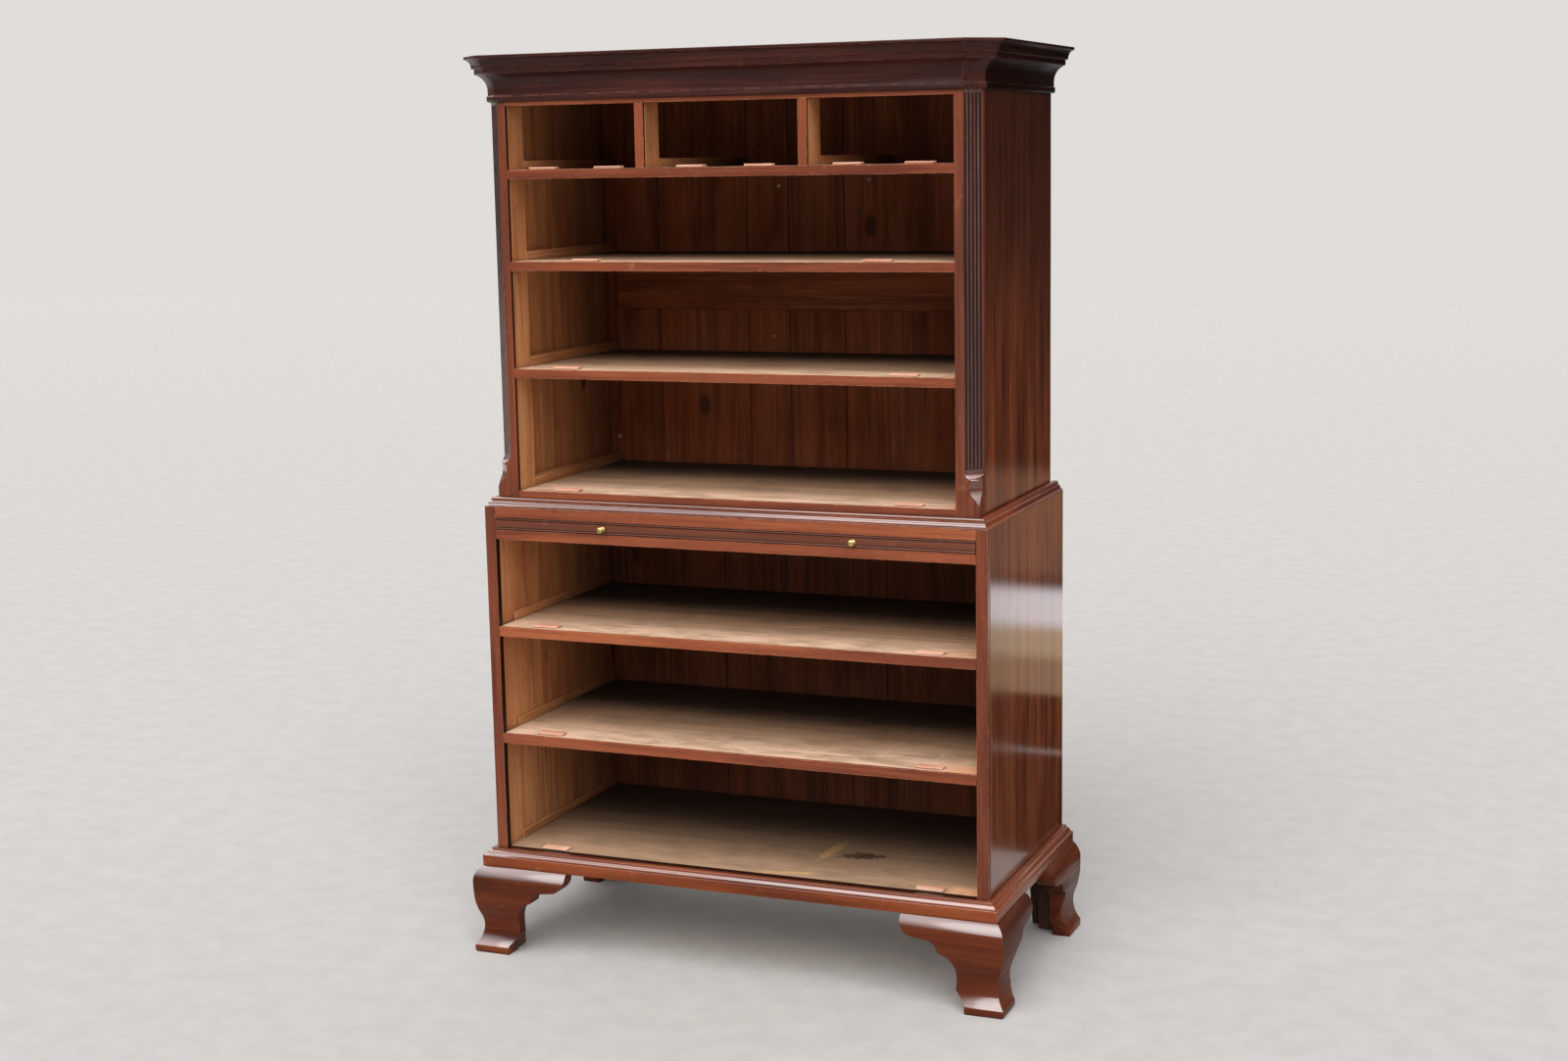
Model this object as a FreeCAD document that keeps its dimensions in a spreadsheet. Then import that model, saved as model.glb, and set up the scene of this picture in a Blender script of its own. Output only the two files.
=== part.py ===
import FreeCAD, Part
import math
import os
import re
import Sketcher

V = FreeCAD.Vector

# A two-part chest with open drawer bays: a lower chest on ogee bracket feet, with a
# brushing slide at its top, and an upper chest with fluted canted corners and a cornice
# that lifts off it.  Millimetres, +Z up, the front faces -Y.  The origin is on the floor,
# below the middle of the whole object's box.

DIMENSIONS = {
    # lower chest
    "lower_width": 1090, "lower_depth": 542, "foot_tall": 188, "lower_top": 958,
    "lower_side": 19, "lower_stile": 24, "stile_deep": 16,
    "floor_board_top": 225, "board_thick": 18,
    # bearer rails of the lower chest, given by their top faces
    "lower_rail_a": 911, "lower_rail_b": 705, "lower_rail_c": 475,
    "lower_rail_tall": 21, "lower_top_rail": 22,
    # upper chest
    "upper_width": 1044, "upper_setback": 22, "upper_depth": 505, "upper_top": 1862,
    "upper_side": 16, "stile_face": 17.5, "cant": 30, "post_deep": 42,
    "cant_start": 1059, "tongue_ledge": 1048, "tongue_toe": 1015, "tongue_tip": 999,
    "tongue_cut": 11, "tongue_neck": 8,
    "upper_rail_a": 1648, "upper_rail_b": 1463, "upper_rail_c": 1244, "upper_rail_tall": 19,
    "upper_floor_top": 991, "bay_top": 1775,
    "muntin_left_at": -176.5, "muntin_right_at": 170, "muntin_wide": 19.5,
    "flute_radius": 2.7, "flute_pitch": 7.9, "flute_sink": 1.2,
    "flute_low": 1068, "flute_high": 1776,
    # parts shared by both chests
    "facing": 8, "rail_deep": 72, "dustboard": 9, "back_thick": 12, "guide_tall": 18,
    "guide_wide": 18, "stop_long": 58, "stop_deep": 22, "stop_tall": 5, "stop_behind": 14,
    "gap": 0.5, "kerf": 0.8, "back_rail_low": 1335, "back_rail_thick": 9,
    # half distances between the two drawer stops of each bay
    "small_stops": 73, "stops_b": 314, "stops_c": 365, "stops_floor": 372,
    "stops_e": 421, "stops_f": 418, "stops_g": 417,
    # mouldings
    "cornice_low": 1784, "cornice_high": 1875, "cornice_out": 49,
    "waist_tall": 20, "base_low": 188, "base_out": 24,
    # ogee bracket feet
    "foot_out": 41, "foot_long": 215, "pad_long": 80, "foot_neck": 101, "rear_foot_long": 170,
    "foot_block": 38, "block_lift": 3,
    # brushing slide
    "slide_low": 912, "slide_high": 935.5, "slide_wide": 1040, "slide_deep": 440,
    "slide_edge": 14, "slide_proud": 2, "slide_board": 17, "slide_cleat": 60,
    "knob_at": 272, "knob_ball": 7, "knob_out": 15, "knob_stem": 3, "runner_tall": 7.2,
    # board seams of the backs
    "seam_a": -372, "seam_b": -158, "seam_c": -61, "seam_d": 68,
    "low_seam_a": -237, "low_seam_b": 151,
    "screw_radius": 4, "screw_proud": 1.5,
}

doc = FreeCAD.newDocument("chest")
sheet = doc.addObject("Spreadsheet::Sheet", "Dims")
for row, (alias, size) in enumerate(DIMENSIONS.items(), start=1):
    sheet.set("A%d" % row, alias)
    sheet.set("B%d" % row, str(size))
    sheet.setAlias("B%d" % row, alias)
doc.recompute()

probe = doc.addObject("App::FeaturePython", "probe")
probe.addProperty("App::PropertyFloat", "Reading")

# expressions that many pieces share
FRONT = "(foot_out - lower_depth) / 2"
UPPER_FRONT = "((foot_out - lower_depth) / 2 + upper_setback)"
LOWER_BACK = "((foot_out + lower_depth) / 2)"
UPPER_BACK = "((foot_out - lower_depth) / 2 + upper_setback + upper_depth)"
BAY = "(upper_width / 2 - cant - stile_face)"
UPPER_IN = "(upper_width / 2 - upper_side)"
LOWER_IN = "(lower_width / 2 - lower_side)"
LOWER_BAY = "(lower_width / 2 - lower_stile)"

made = []


def bound(text):
    """Point every dimension's name in an expression at its cell."""
    def cell(match):
        word = match.group(0)
        return "Dims." + word if word in DIMENSIONS else word
    return re.sub(r"[a-z_]+", cell, str(text))


def value_of(text):
    """The present value of an expression, in mm."""
    probe.setExpression("Reading", bound(text))
    probe.recompute()
    return probe.Reading


def node(obj, label):
    """Name a finished sub-part; its label is its file's name."""
    obj.Label = label
    made.append(obj)
    return obj


def place(obj, x="0", y="0", z="0", turn=0):
    """Place an object by three expressions and a fixed turn about +Z."""
    obj.Placement = FreeCAD.Placement(V(0, 0, 0), FreeCAD.Rotation(V(0, 0, 1), turn))
    for axis, text in (("x", x), ("y", y), ("z", z)):
        obj.setExpression("Placement.Base." + axis, bound(text))


def block(name, x, y, z):
    """A box from three (low, high) pairs of expressions."""
    box = doc.addObject("Part::Box", name)
    place(box, x[0], y[0], z[0])
    for side, (low, high) in (("Length", x), ("Width", y), ("Height", z)):
        box.setExpression(side, bound("(%s) - (%s)" % (high, low)))
    return box


def group(label, boxes):
    """Separate boards that make one node."""
    joined = doc.addObject("Part::Compound", label)
    joined.Links = boxes
    return node(joined, label)


def mirrored(pair):
    """A (low, high) pair of expressions on the other side of the middle plane."""
    return ("-(%s)" % pair[1], "-(%s)" % pair[0])


def both_sides(name, x, y, z):
    """A right-hand box and its mirror image."""
    return [block(name + "_right", x, y, z), block(name + "_left", mirrored(x), y, z)]


# ---------------------------------------------------------------- sketched pieces

def arc_between(start, end, radius, clockwise):
    """The arc under half a turn from start to end."""
    middle = (start + end) / 2
    half = (end - start).Length / 2
    across = V(-(end - start).y, (end - start).x, 0).normalize()
    lift = math.sqrt(max(radius * radius - half * half, 0))
    centre = middle + across * (-lift if clockwise else lift)
    first, last = (end, start) if clockwise else (start, end)
    low = math.atan2(first.y - centre.y, first.x - centre.x)
    high = math.atan2(last.y - centre.y, last.x - centre.x)
    circle = Part.Circle(centre, V(0, 0, 1), radius)
    return Part.ArcOfCircle(circle, low, high if high > low else high + 2 * math.pi)


def outline(body, name, plane, points):
    """A closed sketch through points bound to expressions.

    Each point is (across, up) or (across, up, radius): with a radius the edge that
    arrives at the point is an arc, clockwise where the radius is written below zero.
    """
    sketch = body.newObject("Sketcher::SketchObject", name)
    origin = [f for f in body.Origin.OriginFeatures if f.Role == plane][0]
    sketch.AttachmentSupport = [(origin, "")]
    sketch.MapMode = "FlatFace"
    spots = [V(value_of(p[0]), value_of(p[1]), 0) for p in points]
    count = len(points)
    ends = []
    for index in range(count):
        here, after = spots[index], spots[(index + 1) % count]
        bend = points[(index + 1) % count][2:]
        radius = value_of(bend[0]) if bend else 0
        if bend:
            edge = sketch.addGeometry(arc_between(here, after, abs(radius), radius < 0), False)
            ends.append((edge, 2, 1) if radius < 0 else (edge, 1, 2))
            sketch.addConstraint(Sketcher.Constraint("Radius", edge, abs(radius)))
        else:
            edge = sketch.addGeometry(Part.LineSegment(here, after), False)
            ends.append((edge, 1, 2))
    for index in range(count):
        edge, begin, _ = ends[index]
        before, _, finish = ends[index - 1]
        sketch.addConstraint(Sketcher.Constraint("Coincident", before, finish, edge, begin))
        for kind, at in (("DistanceX", 0), ("DistanceY", 1)):
            size = (spots[index].x, spots[index].y)[at]
            tie = sketch.addConstraint(Sketcher.Constraint(kind, -1, 1, edge, begin, size))
            sketch.setExpression("Constraints[%d]" % tie, bound(points[index][at]))
    return sketch


def padded(body, sketch, length):
    pad = body.newObject("PartDesign::Pad", body.Name + "_pad")
    pad.Profile = sketch
    pad.setExpression("Length", bound(length))
    doc.recompute()
    return pad


def pocketed(body, sketch):
    """Cut right through, both ways from the sketch's plane."""
    before = body.Shape.Volume
    cut = body.newObject("PartDesign::Pocket", sketch.Name + "_cut")
    cut.Profile = sketch
    cut.Type = "ThroughAll"
    cut.Midplane = True
    doc.recompute()
    if body.Shape.Volume >= before:
        raise RuntimeError("%s cut nothing" % sketch.Name)
    return cut


def mitre(body, name, at, outward, out, turn):
    """Cut one end of a run where it meets the next run of the same moulding.

    at is the wall corner along the run, outward is +1 at the run's far end and -1 at
    its near end, and turn is the angle between the two runs.
    """
    lean = math.tan(math.radians(turn / 2))
    back = "(%s) - %g" % (at, outward * lean)
    front = "(%s) + %g * (%s + 1)" % (at, outward * lean, out)
    clear = "(%s) + %g" % (front, outward)
    points = [(back, "1"), (front, "-(%s) - 1" % out), (clear, "-(%s) - 1" % out), (clear, "1")]
    return pocketed(body, outline(body, name, "XY_Plane", points))


def run(label, section, out, length, turns, where, turn):
    """A length of moulding along its own +X, its back on y = 0 and its face towards -Y."""
    body = doc.addObject("PartDesign::Body", label)
    reach = [math.tan(math.radians(angle / 2)) for angle in turns]
    sketch = outline(body, label + "_section", "YZ_Plane", section)
    sketch.setExpression("AttachmentOffset.Base.z", bound("-%g * (%s)" % (reach[0], out)))
    padded(body, sketch, "%s + %g * (%s)" % (length, reach[0] + reach[1], out))
    if turns[0]:
        mitre(body, label + "_near", "0", -1, out, turns[0])
    if turns[1]:
        mitre(body, label + "_far", length, 1, out, turns[1])
    place(body, where[0], where[1], where[2], turn)
    return body


def cornice_section():
    out = "cornice_out"
    tall = "(cornice_high - cornice_low)"
    return [
        ("0", "0"),
        ("-2", "0"),
        ("-8.5", "6", "-5"),
        ("-8.5", "11"),
        ("-6", "13"),
        ("-6", "22"),
        ("-%s * 0.62" % out, "%s * 0.615" % tall, "34"),
        ("-%s * 0.62" % out, "%s * 0.72" % tall),
        ("-%s * 0.73" % out, "%s * 0.74" % tall),
        ("-%s * 0.86" % out, "%s * 0.91" % tall, "20"),
        ("-%s" % out, "%s - 5" % tall),
        ("-%s" % out, tall),
        ("0", tall),
    ]


def waist_section():
    out = "(upper_setback - gap)"
    return [
        ("0", "0"),
        ("-%s" % out, "0"),
        ("-%s" % out, "2"),
        ("-%s * 0.72" % out, "7", "7"),
        ("-%s * 0.58" % out, "11.5", "-6"),
        ("-%s * 0.5" % out, "12.5"),
        ("-%s * 0.5" % out, "14"),
        ("-%s * 0.4" % out, "waist_tall - 0.6", "-4.5"),
        ("0", "waist_tall"),
    ]


def base_section():
    out = "base_out"
    tall = "(floor_board_top - base_low)"
    return [
        ("0", "0"),
        ("-%s" % out, "0"),
        ("-%s" % out, "%s * 0.62" % tall),
        ("-%s * 0.92" % out, "%s * 0.64" % tall),
        ("-%s * 0.68" % out, "%s * 0.76" % tall, "7"),
        ("-%s * 0.5" % out, "%s * 0.87" % tall, "-6"),
        ("-%s * 0.38" % out, "%s * 0.89" % tall),
        ("-%s * 0.38" % out, tall),
        ("0", tall),
    ]


def foot_section():
    """The ogee of a foot, from its inner face to the bulge and the flared toe."""
    out = "foot_out"
    tall = "foot_tall"
    return [
        ("0", "0"),
        ("-%s * 0.94" % out, "0"),
        ("-%s" % out, "%s * 0.03" % tall),
        ("-%s" % out, "%s * 0.085" % tall),
        ("-%s * 0.61" % out, "%s * 0.3" % tall, "59"),
        ("-%s * 0.72" % out, "%s * 0.43" % tall, "59"),
        ("-%s * 0.97" % out, "%s * 0.66" % tall, "-140"),
        ("-%s" % out, "%s * 0.83" % tall, "-500"),
        ("-%s * 0.62" % out, "%s" % tall, "-41.5"),
        ("0", tall),
    ]


def bracket_waste(corner, way, inner):
    """The waste under a bracket, measured inward from the foot's outer corner."""
    def along(reach):
        return "(%s) + (%d) * (%s)" % (corner, way, reach)
    def out_to(share):
        return along("foot_neck + %g * (%s - foot_neck)" % (share, inner))
    turn = -way
    return [
        (along("pad_long"), "-1"),
        (along("pad_long"), "foot_tall * 0.1"),
        (along("foot_neck"), "foot_tall * 0.23"),
        (along("foot_neck - 1"), "foot_tall * 0.44", str(turn * 300)),
        (out_to(0.23), "foot_tall * 0.62", str(turn * 38)),
        (out_to(0.3), "foot_tall * 0.635"),
        (out_to(0.52), "foot_tall * 0.765", str(turn * 26)),
        (out_to(0.72), "foot_tall * 0.78"),
        (along(inner), "foot_tall * 0.94", str(-turn * 34)),
        (along(inner), "foot_tall + 1"),
        (along("%s + 20" % inner), "foot_tall + 1"),
        (along("%s + 20" % inner), "-1"),
    ]


def foot_face(label, at_near_end, mitred, where, turn):
    """One ogee bracket: its outer corner is at its near or its far end."""
    body = doc.addObject("PartDesign::Body", label)
    out = "foot_out" if mitred else "0"
    length = "(foot_long - %s)" % out
    sketch = outline(body, label + "_ogee", "YZ_Plane", foot_section())
    if at_near_end:
        sketch.setExpression("AttachmentOffset.Base.z", bound("-(%s)" % out))
    padded(body, sketch, "foot_long")
    if mitred and at_near_end:
        mitre(body, label + "_mitre", "0", -1, "foot_out", 90)
    elif mitred:
        mitre(body, label + "_mitre", length, 1, "foot_out", 90)
    corner, way = ("-(%s)" % out, 1) if at_near_end else ("%s + %s" % (length, out), -1)
    waste = bracket_waste(corner, way, "foot_long")
    pocketed(body, outline(body, label + "_outline", "XZ_Plane", waste))
    place(body, where[0], where[1], where[2], turn)
    return body


def front_foot(label, side):
    """The two mitred brackets of a front foot; side is -1 on the left, +1 on the right."""
    corner = "%d * lower_width / 2" % side
    inner = "(foot_long - foot_out)"
    if side < 0:
        front = foot_face(label + "_front", True, True, (corner, FRONT, "0"), 0)
        start = "%s + %s" % (FRONT, inner)
        flank = foot_face(label + "_side", False, True, (corner, start, "0"), -90)
    else:
        start = "%s - %s" % (corner, inner)
        front = foot_face(label + "_front", False, True, (start, FRONT, "0"), 0)
        flank = foot_face(label + "_side", True, True, (corner, FRONT, "0"), 90)
    return group(label, [front, flank])


def rear_foot(label, side):
    """The ogee bracket on the side of a rear foot, cut square at the back."""
    corner = "%d * lower_width / 2" % side
    if side < 0:
        return node(foot_face(label, True, False, (corner, LOWER_BACK, "0"), -90), label)
    start = "%s - foot_long" % LOWER_BACK
    return node(foot_face(label, False, False, (corner, start, "0"), 90), label)


def rear_bracket(name, side):
    """The plain board behind a rear foot, sloped on its inner edge."""
    body = doc.addObject("PartDesign::Body", name)
    points = [("0", "0"), ("-62", "0"), ("-70", "foot_tall * 0.6"),
              ("-rear_foot_long", "foot_tall * 0.85"), ("-rear_foot_long", "foot_tall"),
              ("0", "foot_tall")]
    if side < 0:
        points = [("-(%s)" % across, up) for across, up in points]
    padded(body, outline(body, name + "_shape", "XZ_Plane", points), "board_thick")
    place(body, "%d * lower_width / 2" % side, LOWER_BACK, "0")
    return body


# ---------------------------------------------------------------- corner posts

def fluted_post(label, side):
    """A square post, canted and fluted above a lamb's tongue, square below it."""
    body = doc.addObject("PartDesign::Body", label + "_blank")
    shoulder = "-%d * cant" % side
    inner = "-%d * (cant + stile_face)" % side
    section = [("0", "0"), ("0", "post_deep"), (shoulder, "post_deep"), (shoulder, "facing"),
               (inner, "facing"), (inner, "0")]
    padded(body, outline(body, label + "_square", "XY_Plane", section), "upper_top - lower_top")
    full = "cant / sqrt(2)"
    waste = [
        ("1", "tongue_tip - lower_top - 1"),
        ("0", "tongue_tip - lower_top"),
        ("-tongue_neck", "tongue_toe - lower_top"),
        ("-tongue_cut", "tongue_ledge - lower_top", "-30"),
        ("-(%s)" % full, "cant_start - lower_top", "-30"),
        ("-(%s)" % full, "upper_top - lower_top + 1"),
        ("1", "upper_top - lower_top + 1"),
    ]
    sketch = outline(body, label + "_cant", "XZ_Plane", waste)
    sketch.AttachmentOffset = FreeCAD.Placement(V(0, 0, 0), FreeCAD.Rotation(V(0, 1, 0), -45 * side))
    if side < 0:
        sketch.AttachmentOffset = FreeCAD.Placement(V(0, 0, 0), FreeCAD.Rotation(V(0, 1, 0), 225))
    pocketed(body, sketch)
    place(body, "%d * upper_width / 2" % side, UPPER_FRONT, "lower_top")
    tools = []
    for index in range(5):
        shift = "%d * flute_pitch / sqrt(2)" % (index - 2)
        sink = "(flute_radius - flute_sink) / sqrt(2)"
        x = "%d * (upper_width / 2 - cant / 2 + %s + (%s))" % (side, sink, shift)
        y = "%s + cant / 2 - %s + (%s)" % (UPPER_FRONT, sink, shift)
        name = "%s_flute_%d" % (label, index + 1)
        groove = doc.addObject("Part::Cylinder", name)
        groove.setExpression("Radius", bound("flute_radius"))
        groove.setExpression("Height", bound("flute_high - flute_low"))
        place(groove, x, y, "flute_low")
        tools.append(groove)
        for end in ("flute_low", "flute_high"):
            tip = doc.addObject("Part::Sphere", name + end[5:])
            tip.setExpression("Radius", bound("flute_radius"))
            place(tip, x, y, end)
            tools.append(tip)
    flutes = doc.addObject("Part::MultiFuse", label + "_flutes")
    flutes.Shapes = tools
    post = doc.addObject("Part::Cut", label)
    post.Base = body
    post.Tool = flutes
    return node(post, label)


# ---------------------------------------------------------------- boards

def stops_at(name, height, spread, front, middle="0"):
    """The two small blocks that a bay's drawer stops against."""
    deep = ("%s + stop_behind" % front, "%s + stop_behind + stop_deep" % front)
    tall = (height, "%s + stop_tall" % height)
    pair = []
    for way in ("-", "+"):
        centre = "(%s %s %s)" % (middle, way, spread)
        wide = ("%s - stop_long / 2" % centre, "%s + stop_long / 2" % centre)
        pair.append(block("%s_%s" % (name, "left" if way == "-" else "right"), wide, deep, tall))
    return pair


def bearer(level, half, inside, front, back, top, rail_tall, facing_name):
    """A bearer rail, its mahogany facing and the dustboard behind it."""
    low = "%s - %s" % (top, rail_tall)
    face = block(facing_name, ("-%s" % half, half), (front, "%s + facing" % front), (low, top))
    rail = block(level + "_rail", ("-%s" % half, half),
                 ("%s + facing" % front, "%s + rail_deep" % front), (low, top))
    board = block(level + "_dustboard", ("-%s" % inside, inside),
                  ("%s + rail_deep" % front, "%s - back_thick" % back),
                  ("%s - dustboard - 1" % top, "%s - 1" % top))
    node(rail, level + "_rail")
    node(board, level + "_dustboard")
    return face


def backing(label, seams, inside, back, low, high):
    """Upright back boards side by side, a saw kerf apart."""
    edges = ["-%s" % inside] + seams + [inside]
    boards = []
    for index in range(len(edges) - 1):
        left = edges[index] if index == 0 else "%s + kerf / 2" % edges[index]
        right = edges[index + 1] if index == len(edges) - 2 else "%s - kerf / 2" % edges[index + 1]
        name = "%s_%d" % (label, index + 1)
        boards.append(block(name, (left, right), ("%s - back_thick" % back, back), (low, high)))
    return boards


def build_upper():
    front, back, bay, inside = UPPER_FRONT, UPPER_BACK, BAY, UPPER_IN
    board_front = "%s + post_deep" % front
    outer = "upper_width / 2"
    for name, x in (("right", (inside, outer)), ("left", mirrored((inside, outer)))):
        side = block("upper_side_" + name, x, (board_front, back), ("lower_top", "upper_top"))
        node(side, "upper_side_" + name)
    fluted_post("corner_post_left", -1)
    fluted_post("corner_post_right", 1)
    group("post_packings", both_sides("post_packing", (bay, "%s + stile_face" % bay),
                                      ("%s + facing" % front, "%s + rail_deep" % front),
                                      ("upper_floor_top", "bay_top")))
    node(block("upper_floor_board", ("-%s" % inside, inside),
               (board_front, "%s - back_thick" % back),
               ("upper_floor_top - board_thick", "upper_floor_top")), "upper_floor_board")
    node(block("upper_floor_rail", ("-%s" % bay, bay), ("%s + facing" % front, board_front),
               ("lower_top", "upper_floor_top")), "upper_floor_rail")
    node(block("upper_top_board", ("-%s" % inside, inside), (board_front, "%s - back_thick" % back),
               ("upper_top - board_thick", "upper_top")), "upper_top_board")
    node(block("upper_top_rail", ("-%s" % bay, bay), (front, board_front), ("bay_top", "upper_top")),
         "upper_top_rail")
    facings = []
    for name in ("a", "b", "c"):
        facings.append(bearer("upper_" + name, bay, inside, front, back, "upper_rail_" + name,
                              "upper_rail_tall", "upper_facing_" + name))
    facings.append(block("upper_facing_floor", ("-%s" % bay, bay), (front, "%s + facing" % front),
                         ("lower_top", "upper_floor_top")))
    group("upper_rail_facings", facings)
    muntins = []
    posts = []
    guides = []
    for name in ("left", "right"):
        at = "muntin_%s_at" % name
        wide = ("%s - muntin_wide / 2" % at, "%s + muntin_wide / 2" % at)
        tall = ("upper_rail_a", "bay_top")
        face = (front, "%s + facing" % front)
        muntins.append(block("muntin_" + name, wide, face, tall))
        posts.append(block("muntin_post_" + name, wide, (face[1], "%s + rail_deep" % front), tall))
        guides.append(block("muntin_guide_" + name, ("%s - guide_wide / 2" % at, "%s + guide_wide / 2" % at),
                            ("%s + rail_deep" % front, "%s - back_thick" % back),
                            ("upper_rail_a - 1", "upper_rail_a + guide_tall")))
    group("muntins", muntins)
    group("muntin_posts", posts)
    behind = ("%s + rail_deep" % front, "%s - back_thick" % back)
    for name in ("a", "b", "c"):
        top = "upper_rail_" + name
        guides += both_sides("upper_guide_" + name, (bay, inside), behind,
                             ("%s - 1" % top, "%s + guide_tall" % top))
    guides += both_sides("upper_guide_floor", (bay, inside), behind,
                         ("upper_floor_top", "upper_floor_top + guide_tall"))
    group("upper_guides", guides)
    half_muntin = "muntin_wide / 2"
    middles = {
        "left": "((muntin_left_at - %s - %s) / 2)" % (half_muntin, bay),
        "middle": "((muntin_left_at + muntin_right_at) / 2)",
        "right": "((muntin_right_at + %s + %s) / 2)" % (half_muntin, bay),
    }
    stops = []
    for name, centre in middles.items():
        stops += stops_at("small_stop_" + name, "upper_rail_a", "small_stops", front, centre)
    for height, spread in (("upper_rail_b", "stops_b"), ("upper_rail_c", "stops_c"),
                           ("upper_floor_top", "stops_floor")):
        stops += stops_at("stop_" + height, height, spread, front)
    group("upper_stops", stops)
    seams = ["seam_a", "seam_b", "seam_c", "seam_d"]
    group("upper_back_boards", backing("upper_back_board", seams, inside, back, "lower_top", "upper_top"))
    # the cross rail stands in front of the back boards, under a dustboard
    node(block("upper_back_rail", ("-%s" % bay, bay),
               ("%s - back_thick - back_rail_thick" % back, "%s - back_thick" % back),
               ("back_rail_low", "upper_rail_b - dustboard - 1")), "upper_back_rail")


def build_cornice():
    front, back = UPPER_FRONT, UPPER_BACK
    section = cornice_section()
    half = "upper_width / 2"
    node(run("cornice_front", section, "cornice_out", "(upper_width - 2 * cant)", (45, 45),
             ("cant - %s" % half, front, "cornice_low"), 0), "cornice_front")
    flank = "(upper_depth - cant)"
    node(run("cornice_right", section, "cornice_out", flank, (45, 0),
             (half, "%s + cant" % front, "cornice_low"), 90), "cornice_right")
    node(run("cornice_left", section, "cornice_out", flank, (0, 45),
             ("-%s" % half, back, "cornice_low"), -90), "cornice_left")
    facet = "(cant * sqrt(2))"
    group("cornice_cants", [
        run("cornice_cant_right", section, "cornice_out", facet, (45, 45),
            ("%s - cant" % half, front, "cornice_low"), 45),
        run("cornice_cant_left", section, "cornice_out", facet, (45, 45),
            ("-%s" % half, "%s + cant" % front, "cornice_low"), -45),
    ])


def build_waist():
    """The moulding stands on the lower chest, round the foot of the upper one."""
    section = waist_section()
    out = "(upper_setback - gap)"
    inner = "((lower_width / 2) - (upper_setback - gap))"
    start = "%s + upper_setback - gap" % FRONT
    deep = "(lower_depth - upper_setback + gap)"
    node(run("waist_moulding_front", section, out, "(2 * %s)" % inner, (90, 90),
             ("-%s" % inner, start, "lower_top"), 0), "waist_moulding_front")
    node(run("waist_moulding_right", section, out, deep, (90, 0), (inner, start, "lower_top"), 90),
         "waist_moulding_right")
    node(run("waist_moulding_left", section, out, deep, (0, 90),
             ("-%s" % inner, LOWER_BACK, "lower_top"), -90), "waist_moulding_left")


def build_base():
    section = base_section()
    half = "lower_width / 2"
    node(run("base_moulding_front", section, "base_out", "lower_width", (90, 90),
             ("-%s" % half, FRONT, "base_low"), 0), "base_moulding_front")
    node(run("base_moulding_right", section, "base_out", "lower_depth", (90, 0),
             (half, FRONT, "base_low"), 90), "base_moulding_right")
    node(run("base_moulding_left", section, "base_out", "lower_depth", (0, 90),
             ("-%s" % half, LOWER_BACK, "base_low"), -90), "base_moulding_left")
    front_foot("foot_front_left", -1)
    front_foot("foot_front_right", 1)
    rear_foot("foot_rear_left", -1)
    rear_foot("foot_rear_right", 1)
    group("rear_foot_brackets", [rear_bracket("rear_bracket_right", 1),
                                 rear_bracket("rear_bracket_left", -1)])
    corner = ("lower_width / 2 - foot_block", "lower_width / 2")
    tall = ("block_lift", "foot_tall")
    rear = "(%s - board_thick)" % LOWER_BACK
    blocks = both_sides("foot_block_front", corner, (FRONT, "%s + foot_block" % FRONT), tall)
    blocks += both_sides("foot_block_rear", corner, ("%s - foot_block" % rear, rear), tall)
    group("foot_blocks", blocks)


def build_lower():
    front, back, bay, inside = FRONT, LOWER_BACK, LOWER_BAY, LOWER_IN
    outer = "lower_width / 2"
    board_front = "%s + stile_deep" % front
    behind = (board_front, "%s - back_thick" % back)
    for name, x in (("right", (inside, outer)), ("left", mirrored((inside, outer)))):
        side = block("lower_side_" + name, x, (board_front, back), ("foot_tall", "lower_top"))
        node(side, "lower_side_" + name)
    group("lower_stiles", both_sides("lower_stile", (bay, outer), (front, board_front),
                                     ("foot_tall", "lower_top")))
    node(block("lower_top_board", ("-%s" % inside, inside),
               ("%s + rail_deep" % front, "%s - back_thick" % back),
               ("lower_top - board_thick", "lower_top")), "lower_top_board")
    node(block("lower_top_rail", ("-%s" % bay, bay), (front, "%s + rail_deep" % front),
               ("lower_top - lower_top_rail", "lower_top")), "lower_top_rail")
    facings = []
    for name in ("a", "b", "c"):
        facings.append(bearer("lower_" + name, bay, inside, front, back, "lower_rail_" + name,
                              "lower_rail_tall", "lower_facing_" + name))
    group("lower_rail_facings", facings)
    node(block("lower_floor_board", ("-%s" % inside, inside), behind,
               ("floor_board_top - board_thick", "floor_board_top")), "lower_floor_board")
    node(block("base_rail", ("-%s" % bay, bay), (front, board_front), ("foot_tall", "floor_board_top")),
         "base_rail")
    guides = []
    for height, drop in (("lower_rail_b", "1"), ("lower_rail_c", "1"), ("floor_board_top", "0")):
        guides += both_sides("lower_guide_" + height, (bay, inside), ("%s + rail_deep" % front, behind[1]),
                             ("%s - %s" % (height, drop), "%s + guide_tall" % height))
    guides += both_sides("slide_runner", ("%s - slide_cleat" % bay, bay),
                         ("%s + rail_deep" % front, behind[1]),
                         ("lower_rail_a - 1", "lower_rail_a - 1 + runner_tall"))
    group("lower_guides", guides)
    stops = []
    for height, spread in (("lower_rail_b", "stops_e"), ("lower_rail_c", "stops_f"),
                           ("floor_board_top", "stops_g")):
        stops += stops_at("stop_" + height, height, spread, front)
    group("lower_stops", stops)
    group("lower_back_boards", backing("lower_back_board", ["low_seam_a", "low_seam_b"], inside, back,
                                       "foot_tall", "lower_top"))


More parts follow.
